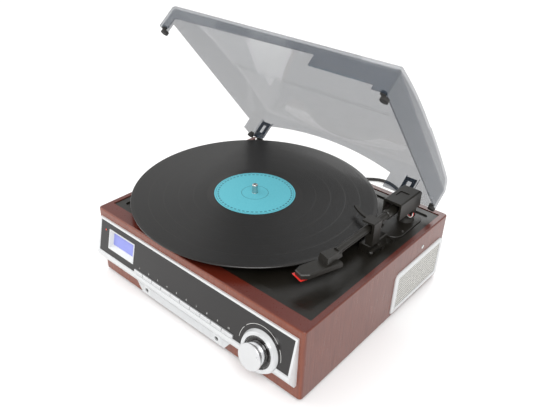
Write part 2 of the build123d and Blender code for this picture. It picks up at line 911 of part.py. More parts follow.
with BuildPart() as stop_switch:
    with BuildSketch(Plane.XY.offset(deck_z + 0.15)):
        with Locations((switch_x - 1.5, stop_y)):
            RectangleRounded(switch_width, switch_length, 0.8)
    extrude(amount=switch_height)
stop_switch.part.label = "stop_switch"
export_step(stop_switch.part, "parts/stop_switch.step")

# Front panel: everything on it is set out on the sloping face plane
tilt = radians(face_tilt)
FACE = Plane(
    origin=(0, front_y - face_proud, face_mid_z),
    x_dir=(1, 0, 0),
    z_dir=(0, -cos(tilt), sin(tilt)),
)


def face_point(v, w=0.0):
    """Side-view point at height v up the sloping face and w in front of it."""
    point = FACE.from_local_coords(Vector(0, v, w))
    return (point.Y, point.Z)


face_half = face_height / 2
slot_left = key_left - key_fit
slot_right = key_left + key_count * key_pitch - key_gap + key_fit
slot_top = key_top + key_fit
slot_bottom = key_top - key_height - key_fit
frame_top_y = front_y - face_proud + (bezel_top_z - face_mid_z) * tan(tilt)
slot_mid = (slot_left + slot_right) / 2

with BuildPart() as front_bezel:
    with BuildSketch(Plane.YZ.offset(-panel_width / 2)):
        with BuildLine():
            Polyline(
                (front_y, bezel_top_z),
                (frame_top_y, bezel_top_z),
                face_point(slot_bottom - 0.2),
                face_point(slot_bottom - 0.9, nose_step),
                (front_y - nose_proud, nose_z),
                (front_y - chin_proud, chin_z),
                (front_y - bezel_foot, bezel_foot_z),
                (front_y, bezel_foot_z),
                close=True,
            )
        make_face()
    extrude(amount=panel_width)
    # hollow behind, one wall inside each outer face
    inner_top_v = (face_proud - bezel_wall * cos(tilt)) / sin(tilt)
    with BuildSketch(Plane.YZ.offset(bezel_wall - panel_width / 2)):
        with BuildLine():
            Polyline(
                face_point(inner_top_v, -bezel_wall),
                face_point(slot_bottom - 0.2, -bezel_wall),
                (front_y - nose_proud + bezel_wall + 0.6, nose_z),
                (front_y - chin_proud + bezel_wall, chin_z + bezel_wall / 2),
                (front_y - bezel_foot + bezel_wall / 2, bezel_foot_z + bezel_wall),
                (front_y, bezel_foot_z + bezel_wall),
                close=True,
            )
        make_face()
    extrude(amount=panel_width - 2 * bezel_wall, mode=Mode.SUBTRACT)
    # boss under the dial, trimmed by the cabinet's front
    with BuildSketch(FACE.offset(-dial_sink)):
        with Locations((dial_x, dial_v)):
            Circle(dial_radius + 0.6)
            Circle(scale_radius, mode=Mode.SUBTRACT)
    extrude(amount=-20)
    with BuildSketch(Plane.XZ.offset(-front_y)):
        Rectangle(2 * panel_width, 4 * bezel_top_z)
    extrude(amount=-30, mode=Mode.SUBTRACT)
    with BuildSketch(FACE.offset(-dial_sink)):
        with Locations((dial_x, dial_v)):
            Circle(dial_radius + dial_fit)
    extrude(amount=3 * dial_sink, mode=Mode.SUBTRACT)
    with BuildSketch(FACE.offset(-10)):
        with Locations((dial_x, dial_v)):
            Circle(scale_radius - 2)
    extrude(amount=20, mode=Mode.SUBTRACT)
    # pocket for the black face, window for the display and slot for the keys
    with BuildSketch(FACE.offset(-face_pocket)):
        with Locations((0, (face_half + slot_bottom) / 2)):
            Rectangle(panel_width - 2 * frame_side, face_half - slot_bottom)
    extrude(amount=face_pocket, mode=Mode.SUBTRACT)
    with BuildSketch(FACE):
        with Locations((display_x, 0)):
            Rectangle(display_width, display_height)
        with Locations((slot_mid, (slot_top + slot_bottom) / 2)):
            Rectangle(slot_right - slot_left, slot_top - slot_bottom)
        with Locations((lamp_x, lamp_v)):
            Circle(lamp_radius + panel_fit)
    extrude(amount=-2 * bezel_wall, mode=Mode.SUBTRACT)
    # apron with the two sockets
    with BuildSketch(Plane.XZ.offset(-front_y)):
        with BuildLine():
            Polyline(
                (apron_left, bezel_foot_z + bezel_wall),
                (apron_right, bezel_foot_z + bezel_wall),
                (apron_right - apron_taper, apron_bottom),
                (apron_left + apron_taper, apron_bottom),
                close=True,
            )
        make_face()
        with Locations((jack_left, jack_z), (jack_right, jack_z)):
            Circle(jack_hole, mode=Mode.SUBTRACT)
    extrude(amount=apron_proud)
    # posts for the key board
    with BuildSketch(FACE.offset(-face_pocket - 0.5)):
        for x in (-key_board_width / 2 + 4, key_board_width / 2 - 4):
            with Locations((x, key_board_high - 11), (x, key_board_low + 9)):
                Circle(post_radius)
    extrude(amount=board_w + face_pocket + 0.5)
front_bezel.part.label = "front_bezel"
export_step(front_bezel.part, "parts/front_bezel.step")

with BuildPart() as face_panel:
    with BuildSketch(FACE.offset(-face_pocket)):
        with Locations((0, (face_half + slot_bottom) / 2)):
            Rectangle(
                panel_width - 2 * (frame_side + panel_fit),
                face_half - slot_bottom - 2 * panel_fit,
            )
        with Locations((slot_mid, (slot_top + slot_bottom) / 2 - 2)):
            Rectangle(
                slot_right - slot_left, slot_top - slot_bottom + 4, mode=Mode.SUBTRACT
            )
        with Locations((display_x, 0)):
            Rectangle(display_width, display_height, mode=Mode.SUBTRACT)
        with Locations((dial_x, dial_v)):
            Circle(dial_radius + dial_fit, mode=Mode.SUBTRACT)
        with Locations((lamp_x, lamp_v)):
            Circle(lamp_radius + panel_fit, mode=Mode.SUBTRACT)
    extrude(amount=face_thickness)
face_panel.part.label = "face_panel"
export_step(face_panel.part, "parts/face_panel.step")

with BuildPart() as display_frame:
    with BuildSketch(FACE.offset(frame_lip)):
        with Locations((display_x, 0)):
            Rectangle(display_width - 2 * panel_fit, display_height - 2 * panel_fit)
    extrude(amount=-module_depth - frame_lip)
    with BuildSketch(FACE.offset(frame_lip)):
        with Locations((display_x, 0)):
            Rectangle(display_width - 2 * frame_edge - 0.6, display_height - 2 * frame_edge - 0.6)
    with BuildSketch(FACE.offset(-display_depth)):
        with Locations((window_x, window_v)):
            Rectangle(window_width, window_height)
    loft(ruled=True, mode=Mode.SUBTRACT)
    with BuildSketch(FACE.offset(-display_depth)):
        with Locations((window_x, window_v)):
            Rectangle(window_width + 2, window_height + 2)
    extrude(amount=-module_depth, mode=Mode.SUBTRACT)
display_frame.part.label = "display_frame"
export_step(display_frame.part, "parts/display_frame.step")

with BuildPart() as display_screen:
    with BuildSketch(FACE.offset(-display_depth)):
        with Locations((window_x, window_v)):
            Rectangle(window_width + 2 - panel_fit, window_height + 2 - panel_fit)
    extrude(amount=board_w + display_depth)
display_screen.part.label = "display_screen"
export_step(display_screen.part, "parts/display_screen.step")

with BuildPart() as dial_ring:
    with BuildSketch(FACE.offset(-dial_sink)):
        with Locations((dial_x, dial_v)):
            Circle(dial_radius)
    extrude(amount=dial_sink)
    with BuildSketch(FACE):
        with Locations((dial_x, dial_v)):
            Circle(dial_radius)
    extrude(amount=dial_height, taper=dial_taper)
    with BuildSketch(FACE.offset(scale_height - scale_thickness)):
        with Locations((dial_x, dial_v)):
            Circle(scale_radius)
    extrude(amount=dial_height, mode=Mode.SUBTRACT)
    with BuildSketch(FACE.offset(-dial_sink)):
        with Locations((dial_x, dial_v)):
            Circle(scale_radius - 3)
    extrude(amount=2 * dial_height, mode=Mode.SUBTRACT)
dial_ring.part.label = "dial_ring"
export_step(dial_ring.part, "parts/dial_ring.step")

with BuildPart() as dial_scale:
    with BuildSketch(FACE.offset(scale_height - scale_thickness)):
        with Locations((dial_x, dial_v)):
            Circle(scale_radius - panel_fit)
            Circle(scale_hole, mode=Mode.SUBTRACT)
    extrude(amount=scale_thickness)
dial_scale.part.label = "dial_scale"
export_step(dial_scale.part, "parts/dial_scale.step")

knob_back = scale_height + knob_gap
knob_front = knob_back + knob_length
shaft_end = board_w + shaft_gap
with BuildPart() as knob_body:
    with BuildSketch(FACE.offset(knob_back)):
        with Locations((dial_x, dial_v)):
            Circle(knob_radius)
    extrude(amount=knob_length)
    with BuildSketch(FACE.offset(knob_back)):
        with Locations((dial_x, dial_v)):
            Circle(shaft_radius)
    extrude(amount=shaft_end - knob_back)
knob_body.part.label = "knob_body"
export_step(knob_body.part, "parts/knob_body.step")

with BuildPart() as knob_cap:
    with BuildSketch(FACE.offset(knob_front)):
        with Locations((dial_x, dial_v)):
            Circle(cap_radius)
    extrude(amount=cap_thickness)
    fillet(knob_cap.edges().group_by(Axis(FACE.origin, FACE.z_dir))[-1], cap_edge)
    with BuildSketch(FACE.offset(knob_front + cap_thickness)):
        with Locations((dial_x, dial_v)):
            with Locations(
                (
                    dimple_orbit * cos(radians(dimple_angle)),
                    dimple_orbit * sin(radians(dimple_angle)),
                )
            ):
                Circle(dimple_radius)
    extrude(amount=-dimple_depth, mode=Mode.SUBTRACT)
knob_cap.part.label = "knob_cap"
export_step(knob_cap.part, "parts/knob_cap.step")

key_mid = key_top - key_height / 2
with BuildPart() as key_board:
    with BuildSketch(FACE.offset(board_w)):
        with Locations((0, (key_board_low + key_board_high) / 2)):
            Rectangle(key_board_width, key_board_high - key_board_low)
    extrude(amount=-board_thickness)
    # key switches, tuner and power lamp stand on the board
    with BuildSketch(FACE.offset(board_w)):
        for n in range(key_count):
            with Locations((key_left + (n + 0.5) * key_pitch - key_gap / 2, key_mid)):
                Rectangle(switch_block, switch_block)
    extrude(amount=switch_body)
    with BuildSketch(FACE.offset(board_w)):
        with Locations((dial_x, dial_v)):
            Circle(tuner_radius)
    extrude(amount=tuner_depth)
    with BuildSketch(FACE.offset(shaft_end - 0.2)):
        with Locations((dial_x, dial_v)):
            Circle(shaft_radius + bore_fit)
    extrude(amount=tuner_depth, mode=Mode.SUBTRACT)
    with BuildSketch(FACE.offset(board_w)):
        with Locations((lamp_x, lamp_v)):
            Circle(lamp_radius)
    extrude(amount=-board_w)
key_board.part.label = "key_board"
export_step(key_board.part, "parts/key_board.step")

key_stem_end = board_w + switch_body + key_travel + 0.2
for n in range(key_count):
    key_x = key_left + (n + 0.5) * key_pitch - key_gap / 2
    with BuildPart() as key:
        with BuildSketch(FACE.offset(-key_depth)):
            with Locations((key_x, key_mid)):
                Rectangle(key_pitch - key_gap, key_height)
        extrude(amount=key_depth + key_proud)
        front_edges = key.edges().group_by(Axis(FACE.origin, FACE.z_dir))[-1]
        chamfer(front_edges, 0.5)
        with BuildSketch(FACE.offset(-bezel_wall - key_flange - 0.3)):
            with Locations((key_x, key_mid)):
                Rectangle(key_pitch - key_gap, key_height + 2 * (key_fit + key_flange))
        extrude(amount=-key_flange)
        with BuildSketch(FACE.offset(-key_depth)):
            with Locations((key_x, key_mid)):
                Circle(key_stem / 2)
        extrude(amount=key_stem_end + key_depth)
    key.part.label = f"key_{n + 1}"
    export_step(key.part, f"parts/key_{n + 1}.step")

with BuildPart() as jacks:
    with BuildSketch(Plane.XZ.offset(-front_y)):
        with Locations((jack_left, jack_z), (jack_right, jack_z)):
            Circle(jack_radius)
    extrude(amount=-jack_length)
    with BuildSketch(Plane.XZ.offset(-front_y)):
        with Locations((jack_left, jack_z), (jack_right, jack_z)):
            Circle(jack_hole - board_gap)
    extrude(amount=jack_nose)
    with BuildSketch(Plane.XZ.offset(-front_y + jack_nose)):
        with Locations((jack_left, jack_z), (jack_right, jack_z)):
            Circle(jack_bore)
    extrude(amount=-jack_length - jack_nose + 3, mode=Mode.SUBTRACT)
jacks.part.label = "jacks"
export_step(jacks.part, "parts/jacks.step")

# Loudspeakers and their grilles, the same on both sides
grille_mid_y = (grille_front + grille_rear) / 2
grille_mid_z = (grille_bottom + grille_top) / 2
grille_length = grille_rear - grille_front
grille_rise = grille_top - grille_bottom
with BuildPart() as grilles:
    with BuildSketch(Plane.YZ.offset(side_x)):
        with BuildLine():
            FilletPolyline(
                (grille_front, grille_bottom),
                (grille_rear, grille_bottom),
                (grille_rear, grille_top),
                (grille_front, grille_top),
                radius=(grille_foot_corner, grille_foot_corner, grille_corner, grille_corner),
                close=True,
            )
        make_face()
    extrude(amount=grille_proud)
    chamfer(grilles.edges().group_by(Axis.X)[-1], grille_bevel)
    with BuildSketch(Plane.YZ.offset(side_x)):
        with Locations((grille_mid_y, grille_mid_z)):
            RectangleRounded(
                grille_length - 2 * grille_border,
                grille_rise - 2 * grille_border,
                grille_corner - grille_border,
            )
    extrude(amount=grille_proud, mode=Mode.SUBTRACT)
    mirror(about=Plane.YZ)
grilles.part.label = "grilles"
export_step(grilles.part, "parts/grilles.step")

with BuildPart() as grille_meshes:
    with BuildSketch(Plane.YZ.offset(side_x + grille_proud - mesh_recess)):
        with Locations((grille_mid_y, grille_mid_z)):
            RectangleRounded(
                grille_length - 2 * (grille_border + panel_fit),
                grille_rise - 2 * (grille_border + panel_fit),
                grille_corner - grille_border,
            )
    extrude(amount=-mesh_thickness)
    mirror(about=Plane.YZ)
grille_meshes.part.label = "grille_meshes"
export_step(grille_meshes.part, "parts/grille_meshes.step")

with BuildPart() as speakers:
    with BuildSketch(Plane.YZ.offset(inner_x - board_gap)):
        with Locations((grille_mid_y, speaker_z)):
            Circle(speaker_radius)
            Circle(speaker_opening - 3, mode=Mode.SUBTRACT)
    extrude(amount=-speaker_flange)
    with BuildSketch(Plane.YZ.offset(inner_x - board_gap - speaker_flange)):
        with Locations((grille_mid_y, speaker_z)):
            Circle(speaker_opening)
    with BuildSketch(Plane.YZ.offset(inner_x - speaker_depth)):
        with Locations((grille_mid_y, speaker_z)):
            Circle(magnet_radius - 3)
    loft(ruled=True)
    with BuildSketch(Plane.YZ.offset(inner_x - board_gap)):
        with Locations((grille_mid_y, speaker_z)):
            Circle(speaker_opening - 3)
    with BuildSketch(Plane.YZ.offset(inner_x - speaker_depth + 4)):
        with Locations((grille_mid_y, speaker_z)):
            Circle(8)
    loft(ruled=True, mode=Mode.SUBTRACT)
    with BuildSketch(Plane.YZ.offset(inner_x - speaker_depth)):
        with Locations((grille_mid_y, speaker_z)):
            Circle(magnet_radius)
    extrude(amount=-magnet_height)
    mirror(about=Plane.YZ)
speakers.part.label = "speakers"
export_step(speakers.part, "parts/speakers.step")

# Dust cover: drawn closed, with its form as the meeting of three outlines
lid_rear_y = hinge_y - lid_back
lid_front_y = lid_rear_y - lid_depth
lid_z = rim_z + lid_lift
lid_step_at = lid_front_y + lid_step_y
HINGE = Axis((0, hinge_y, hinge_z), (1, 0, 0))


def lid_form(inset):
    """Solid bounded by the cover's outer faces, each moved in by the same inset."""
    with BuildPart() as form:
        with BuildSketch(Plane.XY.offset(lid_z)):
            with Locations((0, (lid_rear_y + lid_front_y) / 2)):
                RectangleRounded(
                    lid_width - 2 * inset, lid_depth - 2 * inset, lid_corner - inset / 2
                )
        extrude(amount=2 * lid_crown_rear)
        # side view: flat front face, long rising top, a step up and the rear part
        with BuildSketch(Plane.YZ.offset(-lid_width / 2)):
            with BuildLine():
                rear = (lid_rear_y - inset, lid_z)
                front = (lid_front_y + inset, lid_z)
                fold = (lid_front_y + inset, lid_z + lid_fold - inset / 2)
                nose = (lid_front_y + 3 + inset, lid_z + lid_front_height - inset)
                slope = (lid_front_y + 66, lid_z + lid_slope_height - inset)
                crown = (lid_step_at, lid_z + lid_crown_front - inset)
                ridge = (lid_step_at + lid_step + 1, lid_z + lid_crown_front + lid_step - inset)
                back = (lid_rear_y - inset - 3, lid_z + lid_rear_height - inset)
                edge = (lid_rear_y - inset, lid_z + lid_rear_height - 3 - inset)
                Line(rear, front)
                Line(front, fold)
                Line(fold, nose)
                ThreePointArc(nose, slope, crown)
                Line(crown, ridge)
                ridge_mid = (
                    (ridge[0] + back[0]) / 2,
                    lid_z + lid_crown_rear - inset,
                )
                ThreePointArc(ridge, ridge_mid, back)
                Line(back, edge)
                Line(edge, rear)
            make_face()
        extrude(amount=lid_width, mode=Mode.INTERSECT)
        # end view: upright sides up to a fold, then shoulders leaning in
        with BuildSketch(Plane.XZ.offset(-lid_rear_y)):
            with BuildLine():
                half_width = lid_width / 2 - inset
                lean = shoulder_inset * lid_crown_rear / (lid_crown_rear - lid_fold)
                Polyline(
                    (-half_width, lid_z),
                    (half_width, lid_z),
                    (half_width, lid_z + lid_fold),
                    (half_width - lean, lid_z + lid_fold + lid_crown_rear),
                    (-half_width + lean, lid_z + lid_fold + lid_crown_rear),
                    (-half_width, lid_z + lid_fold),
                    close=True,
                )
            make_face()
        extrude(amount=lid_depth, mode=Mode.INTERSECT)
    return form.part


with BuildPart() as lid:
    add(lid_form(0))
    add(lid_form(lid_wall), mode=Mode.SUBTRACT)
    leg_left = -lid_width / 2 + leg_width
    leg_right = lid_width / 2 - leg_width
    # left edge is raised between the corner legs
    with BuildSketch(Plane.YZ.offset(-lid_width / 2)):
        with Locations((lid_front_y + leg_width, lid_z)):
            Rectangle(
                lid_depth - leg_width - leg_width_rear,
                2 * left_cut,
                align=(Align.MIN, Align.CENTER),
            )
    extrude(amount=2 * lid_wall, mode=Mode.SUBTRACT)
    # front edge rises over the record and steps down in front of the tonearm
    with BuildSketch(Plane.XZ.offset(-lid_front_y)):
        with BuildLine():
            Polyline(
                (leg_left, lid_z),
                (leg_left, lid_z + front_cut_low),
                (front_cut_right, lid_z + front_cut),
                (front_cut_right, lid_z + front_step),
                (leg_right, lid_z + front_step),
                (leg_right, lid_z),
                close=True,
            )
        make_face()
    extrude(amount=-2 * lid_wall, mode=Mode.SUBTRACT)
    # rear edge is arched over the record
    with BuildSketch(Plane.XZ.offset(-lid_rear_y)):
        with BuildLine():
            arch_left = -lid_width / 2 + leg_width_rear + 2
            arch_mid = (arch_left + rear_cut_right) / 2
            ThreePointArc(
                (arch_left, lid_z + rear_cut_side),
                (arch_mid, lid_z + rear_cut_crown),
                (rear_cut_right, lid_z + rear_cut_side),
            )
            Polyline(
                (rear_cut_right, lid_z + rear_cut_side),
                (rear_cut_right, lid_z + rear_step),
                (lid_width / 2 - leg_width_rear, lid_z + rear_step),
                (lid_width / 2 - leg_width_rear, lid_z),
                (arch_left, lid_z),
                (arch_left, lid_z + rear_cut_side),
            )
        make_face()
    extrude(amount=2 * lid_wall, mode=Mode.SUBTRACT)
    # moulded rails that hold the hinge blades
    with BuildSketch(Plane.XY.offset(lid_z + rear_step + 1)):
        for x in (hinge_left, hinge_right):
            for side in (-1, 1):
                rail_x = x + side * (blade_width / 2 + rail_fit + rail_width / 2)
                with Locations((rail_x, lid_rear_y)):
                    Rectangle(
                        rail_width,
                        blade_thickness + 0.6,
                        align=(Align.CENTER, Align.MIN),
                    )
    extrude(amount=blade_height)
lid_raised = lid.part.rotate(HINGE, -lid_open)
lid_raised.label = "lid"
export_step(lid_raised, "parts/lid.step")

bumper_bottom = deck_border_z + board_gap
with BuildPart() as lid_bumpers:
    for x_side in (-1, 1):
        for y_side in (-1, 1):
            corner_x = x_side * lid_width / 2
            corner_y = (lid_rear_y + lid_front_y) / 2 + y_side * lid_depth / 2
            inward = lid_wall + board_gap
            with BuildSketch(Plane.XY.offset(bumper_bottom)):
                # the front ones stand inside the front wall, which the lid's edge laps over
                outer_y = max(corner_y, inner_front_y + bumper_clearance)
                with Locations(
                    (corner_x - x_side * bumper_size / 2, outer_y - y_side * bumper_size / 2)
                ):
                    RectangleRounded(bumper_size, bumper_size, lid_corner - 0.1)
            extrude(amount=lid_z - board_gap - bumper_bottom)
            with BuildSketch(Plane.XY.offset(lid_z - board_gap)):
                plug_size = bumper_size - inward
                with Locations(
                    (
                        corner_x - x_side * (inward + plug_size / 2),
                        corner_y - y_side * (inward + plug_size / 2),
                    )
                ):
                    RectangleRounded(plug_size, plug_size, lid_corner - lid_wall / 2)
            extrude(amount=bumper_grip)
bumpers_raised = lid_bumpers.part.rotate(HINGE, -lid_open)
bumpers_raised.label = "lid_bumpers"
export_step(bumpers_raised, "parts/lid_bumpers.step")

blade_front_y = lid_rear_y + board_gap
blade_rear_y = blade_front_y + blade_thickness
blade_bottom = hinge_z + knuckle_radius - blade_thickness
with BuildPart() as hinge_blades:
    for x in (hinge_left, hinge_right):
        with BuildSketch(Plane.XZ.offset(-blade_front_y)):
            with Locations((x, blade_bottom)):
                Rectangle(blade_width, blade_height, align=(Align.CENTER, Align.MIN))
            with Locations((x, blade_bottom + blade_height / 2 + 2)):
                Rectangle(blade_window, blade_height / 2, mode=Mode.SUBTRACT)
        extrude(amount=-blade_thickness)
        with BuildSketch(Plane.YZ.offset(x - knuckle_width / 2)):
            with Locations((hinge_y, hinge_z)):
                Circle(knuckle_radius)
            with BuildLine():
                Polyline(
                    (blade_rear_y, blade_bottom),
                    (hinge_y, blade_bottom),
                    (hinge_y, hinge_z + knuckle_radius),
                    (blade_rear_y, hinge_z + knuckle_radius + 2),
                    close=True,
                )
            make_face()
            with Locations((hinge_y, hinge_z)):
                Circle(hinge_pin_radius + bore_fit, mode=Mode.SUBTRACT)
        extrude(amount=knuckle_width)
blades_raised = hinge_blades.part.rotate(HINGE, -lid_open)
blades_raised.label = "hinge_blades"
export_step(blades_raised, "parts/hinge_blades.step")

ear_y = inner_rear_y - deck_gap - ear_depth
with BuildPart() as hinge_brackets:
    for x in (hinge_left, hinge_right):
        ear_x = knuckle_width / 2 + hinge_gap
        with BuildSketch(Plane.XY.offset(deck_border_z)):
            with Locations((x, ear_y + ear_depth / 2)):
                Rectangle(2 * (ear_x + ear_thickness), ear_depth)
        extrude(amount=ear_base)
        for side in (-1, 1):
            with BuildSketch(Plane.YZ.offset(x + side * (ear_x + ear_thickness / 2))):
                with Locations((hinge_y, hinge_z)):
                    Circle(ear_radius)
                with Locations((hinge_y, deck_border_z)):
                    Rectangle(
                        2 * (inner_rear_y - deck_gap - hinge_y),
                        hinge_z - deck_border_z,
                        align=(Align.CENTER, Align.MIN),
                    )
            extrude(amount=ear_thickness / 2, both=True)
        with BuildSketch(Plane.YZ.offset(x)):
            with Locations((hinge_y, hinge_z)):
                Circle(hinge_pin_radius)
        extrude(amount=ear_x, both=True)
hinge_brackets.part.label = "hinge_brackets"
export_step(hinge_brackets.part, "parts/hinge_brackets.step")

# Mains lead: boot, open run, put-away coil and plug
with BuildPart() as strain_relief:
    with BuildSketch(Plane.XZ.offset(-rear_y + rear_wall)):
        with Locations((cord_exit_x, cord_exit_z)):
            Circle(relief_radius)
    extrude(amount=-rear_wall)
    with BuildSketch(Plane.XZ.offset(-rear_y + rear_wall)):
        with Locations((cord_exit_x, cord_exit_z)):
            Circle(relief_flange)
    extrude(amount=2)
    with BuildSketch(Plane.XZ.offset(-rear_y)):
        with Locations((cord_exit_x, cord_exit_z)):
            Circle(relief_radius)
    with BuildSketch(Plane.XZ.offset(-rear_y - relief_length)):
        with Locations((cord_exit_x, cord_exit_z)):
            Circle(relief_tip_radius)
    loft()
    with BuildSketch(Plane.XZ.offset(-rear_y - relief_length)):
        with Locations((cord_exit_x, cord_exit_z)):
            Circle(cord_radius + cord_fit)
    extrude(amount=relief_grip, mode=Mode.SUBTRACT)
strain_relief.part.label = "strain_relief"
export_step(strain_relief.part, "parts/strain_relief.step")


def bend_radii(points):
    """One radius for each bend: 0.45 of the shorter run over the half turn's tangent."""
    radii = []
    for before, at, after in zip(points, points[1:], points[2:]):
        run_in = Vector(*at) - Vector(*before)
        run_out = Vector(*after) - Vector(*at)
        half_turn = radians(run_in.get_angle(run_out)) / 2
        radii.append(0.45 * min(run_in.length, run_out.length) / tan(half_turn))
    return radii


cord_points = [
    (cord_exit_x, rear_y + relief_length - relief_grip, cord_exit_z),
    (cord_exit_x, 182, cord_exit_z),
    (95, 208, 9),
    (89, 232, cord_radius),
    (72, 256, cord_radius),
    (42, 274, cord_radius),
    (9, 300, cord_radius),
    (-22, 309.5, cord_radius),
    (-50, 289, cord_radius),
    (-70, 262, cord_radius),
    (-93, coil_y + coil_turn, cord_radius),
    (coil_x, coil_y + coil_turn, cord_radius),
]
cord_radii = bend_radii(cord_points)
print("lead bends", [round(radius, 1) for radius in cord_radii])
with BuildPart() as power_cord:
    with BuildLine() as cord_route:
        FilletPolyline(*cord_points, radius=cord_radii)
    with BuildSketch(Plane(cord_route.wire() @ 0, z_dir=cord_route.wire() % 0)):
        Circle(cord_radius)
    sweep(path=cord_route.wire())
power_cord.part.label = "power_cord"
export_step(power_cord.part, "parts/power_cord.step")
cord_section = pi * cord_radius**2
cord_length = cord_route.wire().length
print("lead", round(cord_length), round(power_cord.part.volume / cord_section / cord_length, 4))

tail_points = [
    (0, 0, 0),
    (-24, 0, 0.2),
    (-49, -2, -coil_pitch),
    (-72, -4, -coil_pitch),
    (-92, -4.5, 6.5 - cord_radius - coil_pitch),
]
with BuildPart() as power_cord_coil:
    with BuildLine() as coil_route:
        y = coil_y + coil_turn
        side = 1
        turns = [coil_turn - coil_pitch / 2 * n for n in range(coil_halves)]
        inner = turns[-1] - coil_pitch / 2
        back = [turns[-1] + coil_pitch / 2 * n for n in range(coil_halves - 1)]
        for radius in turns:
            start = 90 if side > 0 else 270
            CenterArc((coil_x, y - side * radius, cord_radius), radius, start, 180)
            y -= 2 * side * radius
            side = -side
        # half turn that climbs from the first layer to the second
        low = (coil_x, y, cord_radius)
        swing_out = hypot(inner, coil_pitch / 2)
        middle = (coil_x - swing_out, y - inner, cord_radius + coil_pitch / 2)
        high = (coil_x, y - 2 * inner, cord_radius + coil_pitch)
        climb = TangentArc(low, middle, tangent=(-1, 0, 0))
        TangentArc(middle, high, tangent=climb % 1)
        y -= 2 * inner
        side = -1
        for radius in back:
            start = 90 if side > 0 else 270
            CenterArc((coil_x, y - side * radius, high[2]), radius, start, 180)
            y -= 2 * side * radius
            side = -side
        tail = [(coil_x + dx, y + dy, high[2] + dz) for dx, dy, dz in tail_points]
        FilletPolyline(*tail, radius=bend_radii(tail))
    coil_wire = coil_route.wire()
    with BuildSketch(Plane(coil_wire @ 0, z_dir=coil_wire % 0)):
        Circle(cord_radius)
    sweep(path=coil_wire)
power_cord_coil.part.label = "power_cord_coil"
export_step(power_cord_coil.part, "parts/power_cord_coil.step")
print("tail bends", [round(radius, 1) for radius in bend_radii(tail)])
coil_length = coil_wire.length
print("coil", round(coil_length), round(power_cord_coil.part.volume / cord_section / coil_length, 4))

samples = int(coil_length / 3)
spots = [coil_wire.position_at(n / samples) for n in range(samples + 1)]
near = min(
    (spots[a] - spots[b]).length
    for a in range(len(spots))
    for b in range(a + 8, len(spots))
)
print("least gap between turns", round(near - 2 * cord_radius, 2))

plug_x, plug_y, plug_z = tail[-1]
with BuildPart() as plug:
    with BuildSketch(Plane.YZ.offset(plug_x)):
        with Locations((plug_y, plug_z)):
            Circle(cord_radius + 1.2)
    with BuildSketch(Plane.YZ.offset(plug_x - plug_length / 3)):
        with Locations((plug_y, plug_z)):
            RectangleRounded(plug_width, plug_height - 0.2, plug_height / 3)
    loft()
    with BuildSketch(Plane.YZ.offset(plug_x - plug_length / 3)):
        with Locations((plug_y, plug_z)):
            RectangleRounded(plug_width, plug_height - 0.2, plug_height / 3)
    with BuildSketch(Plane.YZ.offset(plug_x - plug_length)):
        with Locations((plug_y, plug_z)):
            RectangleRounded(plug_pin_pitch + 10, plug_height - 0.2, plug_height / 3)
    loft()
    with BuildSketch(Plane.YZ.offset(plug_x - plug_length)):
        for side in (-1, 1):
            with Locations((plug_y + side * plug_pin_pitch / 2, plug_z)):
                Circle(plug_pin_radius)
    extrude(amount=-plug_pin_length)
    with BuildSketch(Plane.YZ.offset(plug_x)):
        with Locations((plug_y, plug_z)):
            Circle(cord_radius + cord_fit)
    extrude(amount=-0.5, mode=Mode.SUBTRACT)
plug.part.label = "plug"
export_step(plug.part, "parts/plug.step")
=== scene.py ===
"""Looks of a record player with a radio front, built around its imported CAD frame.

Everything is in metres in the frame's own axes: +X right along the front, -Y out of the
front, +Z up, with the origin on the table under the middle of the cabinet.
"""

import logging
import math
from dataclasses import dataclass, field
from enum import Enum
from typing import Callable, Iterable, Sequence

import bmesh
import bpy
from mathutils import Matrix, Vector

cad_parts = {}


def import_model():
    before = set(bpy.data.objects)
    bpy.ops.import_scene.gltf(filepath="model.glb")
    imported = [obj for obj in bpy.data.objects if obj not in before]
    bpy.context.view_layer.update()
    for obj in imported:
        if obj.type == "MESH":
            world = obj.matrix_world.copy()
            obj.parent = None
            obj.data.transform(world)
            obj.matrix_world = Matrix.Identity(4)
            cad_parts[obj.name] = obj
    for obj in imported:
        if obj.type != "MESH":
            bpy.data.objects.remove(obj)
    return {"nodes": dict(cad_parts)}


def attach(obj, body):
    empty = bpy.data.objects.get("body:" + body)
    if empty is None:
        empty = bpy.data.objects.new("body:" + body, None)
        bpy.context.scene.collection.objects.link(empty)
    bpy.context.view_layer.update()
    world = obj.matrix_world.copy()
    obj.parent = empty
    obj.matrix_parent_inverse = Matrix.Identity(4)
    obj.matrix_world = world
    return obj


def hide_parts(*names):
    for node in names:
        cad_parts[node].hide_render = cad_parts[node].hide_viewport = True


LOG = logging.getLogger("record_player")

Point = tuple[float, float, float]
Colour = tuple[float, float, float]

MM = 0.001


class Body(str, Enum):
    """Moving bodies of the frame that the added pieces ride on."""

    BASE = "base"
    ARM_SWIVEL = "arm_swivel"


@dataclass(frozen=True)
class Finish:
    """Surface of one kind of part.

    Attributes:
        name: Name of the material.
        base: Main colour, linear.
        second: Colour that the fine mottling leans to.
        roughness: Middle roughness.
        spread: How far the roughness varies around its middle.
        metallic: 1 for bare metal.
        scale: Frequency of the mottling, per metre.
        stretch: Scale of the pattern along X, Y and Z, for brushed or grained surfaces.
        bump: Height of the fine relief, in metres.
        coat: Strength of a clear coat.
        specular: Specular level.
    """

    name: str
    base: Colour
    second: Colour
    roughness: float = 0.45
    spread: float = 0.08
    metallic: float = 0.0
    scale: float = 900.0
    stretch: Point = (1.0, 1.0, 1.0)
    bump: float = 0.00004
    coat: float = 0.0
    specular: float = 0.5


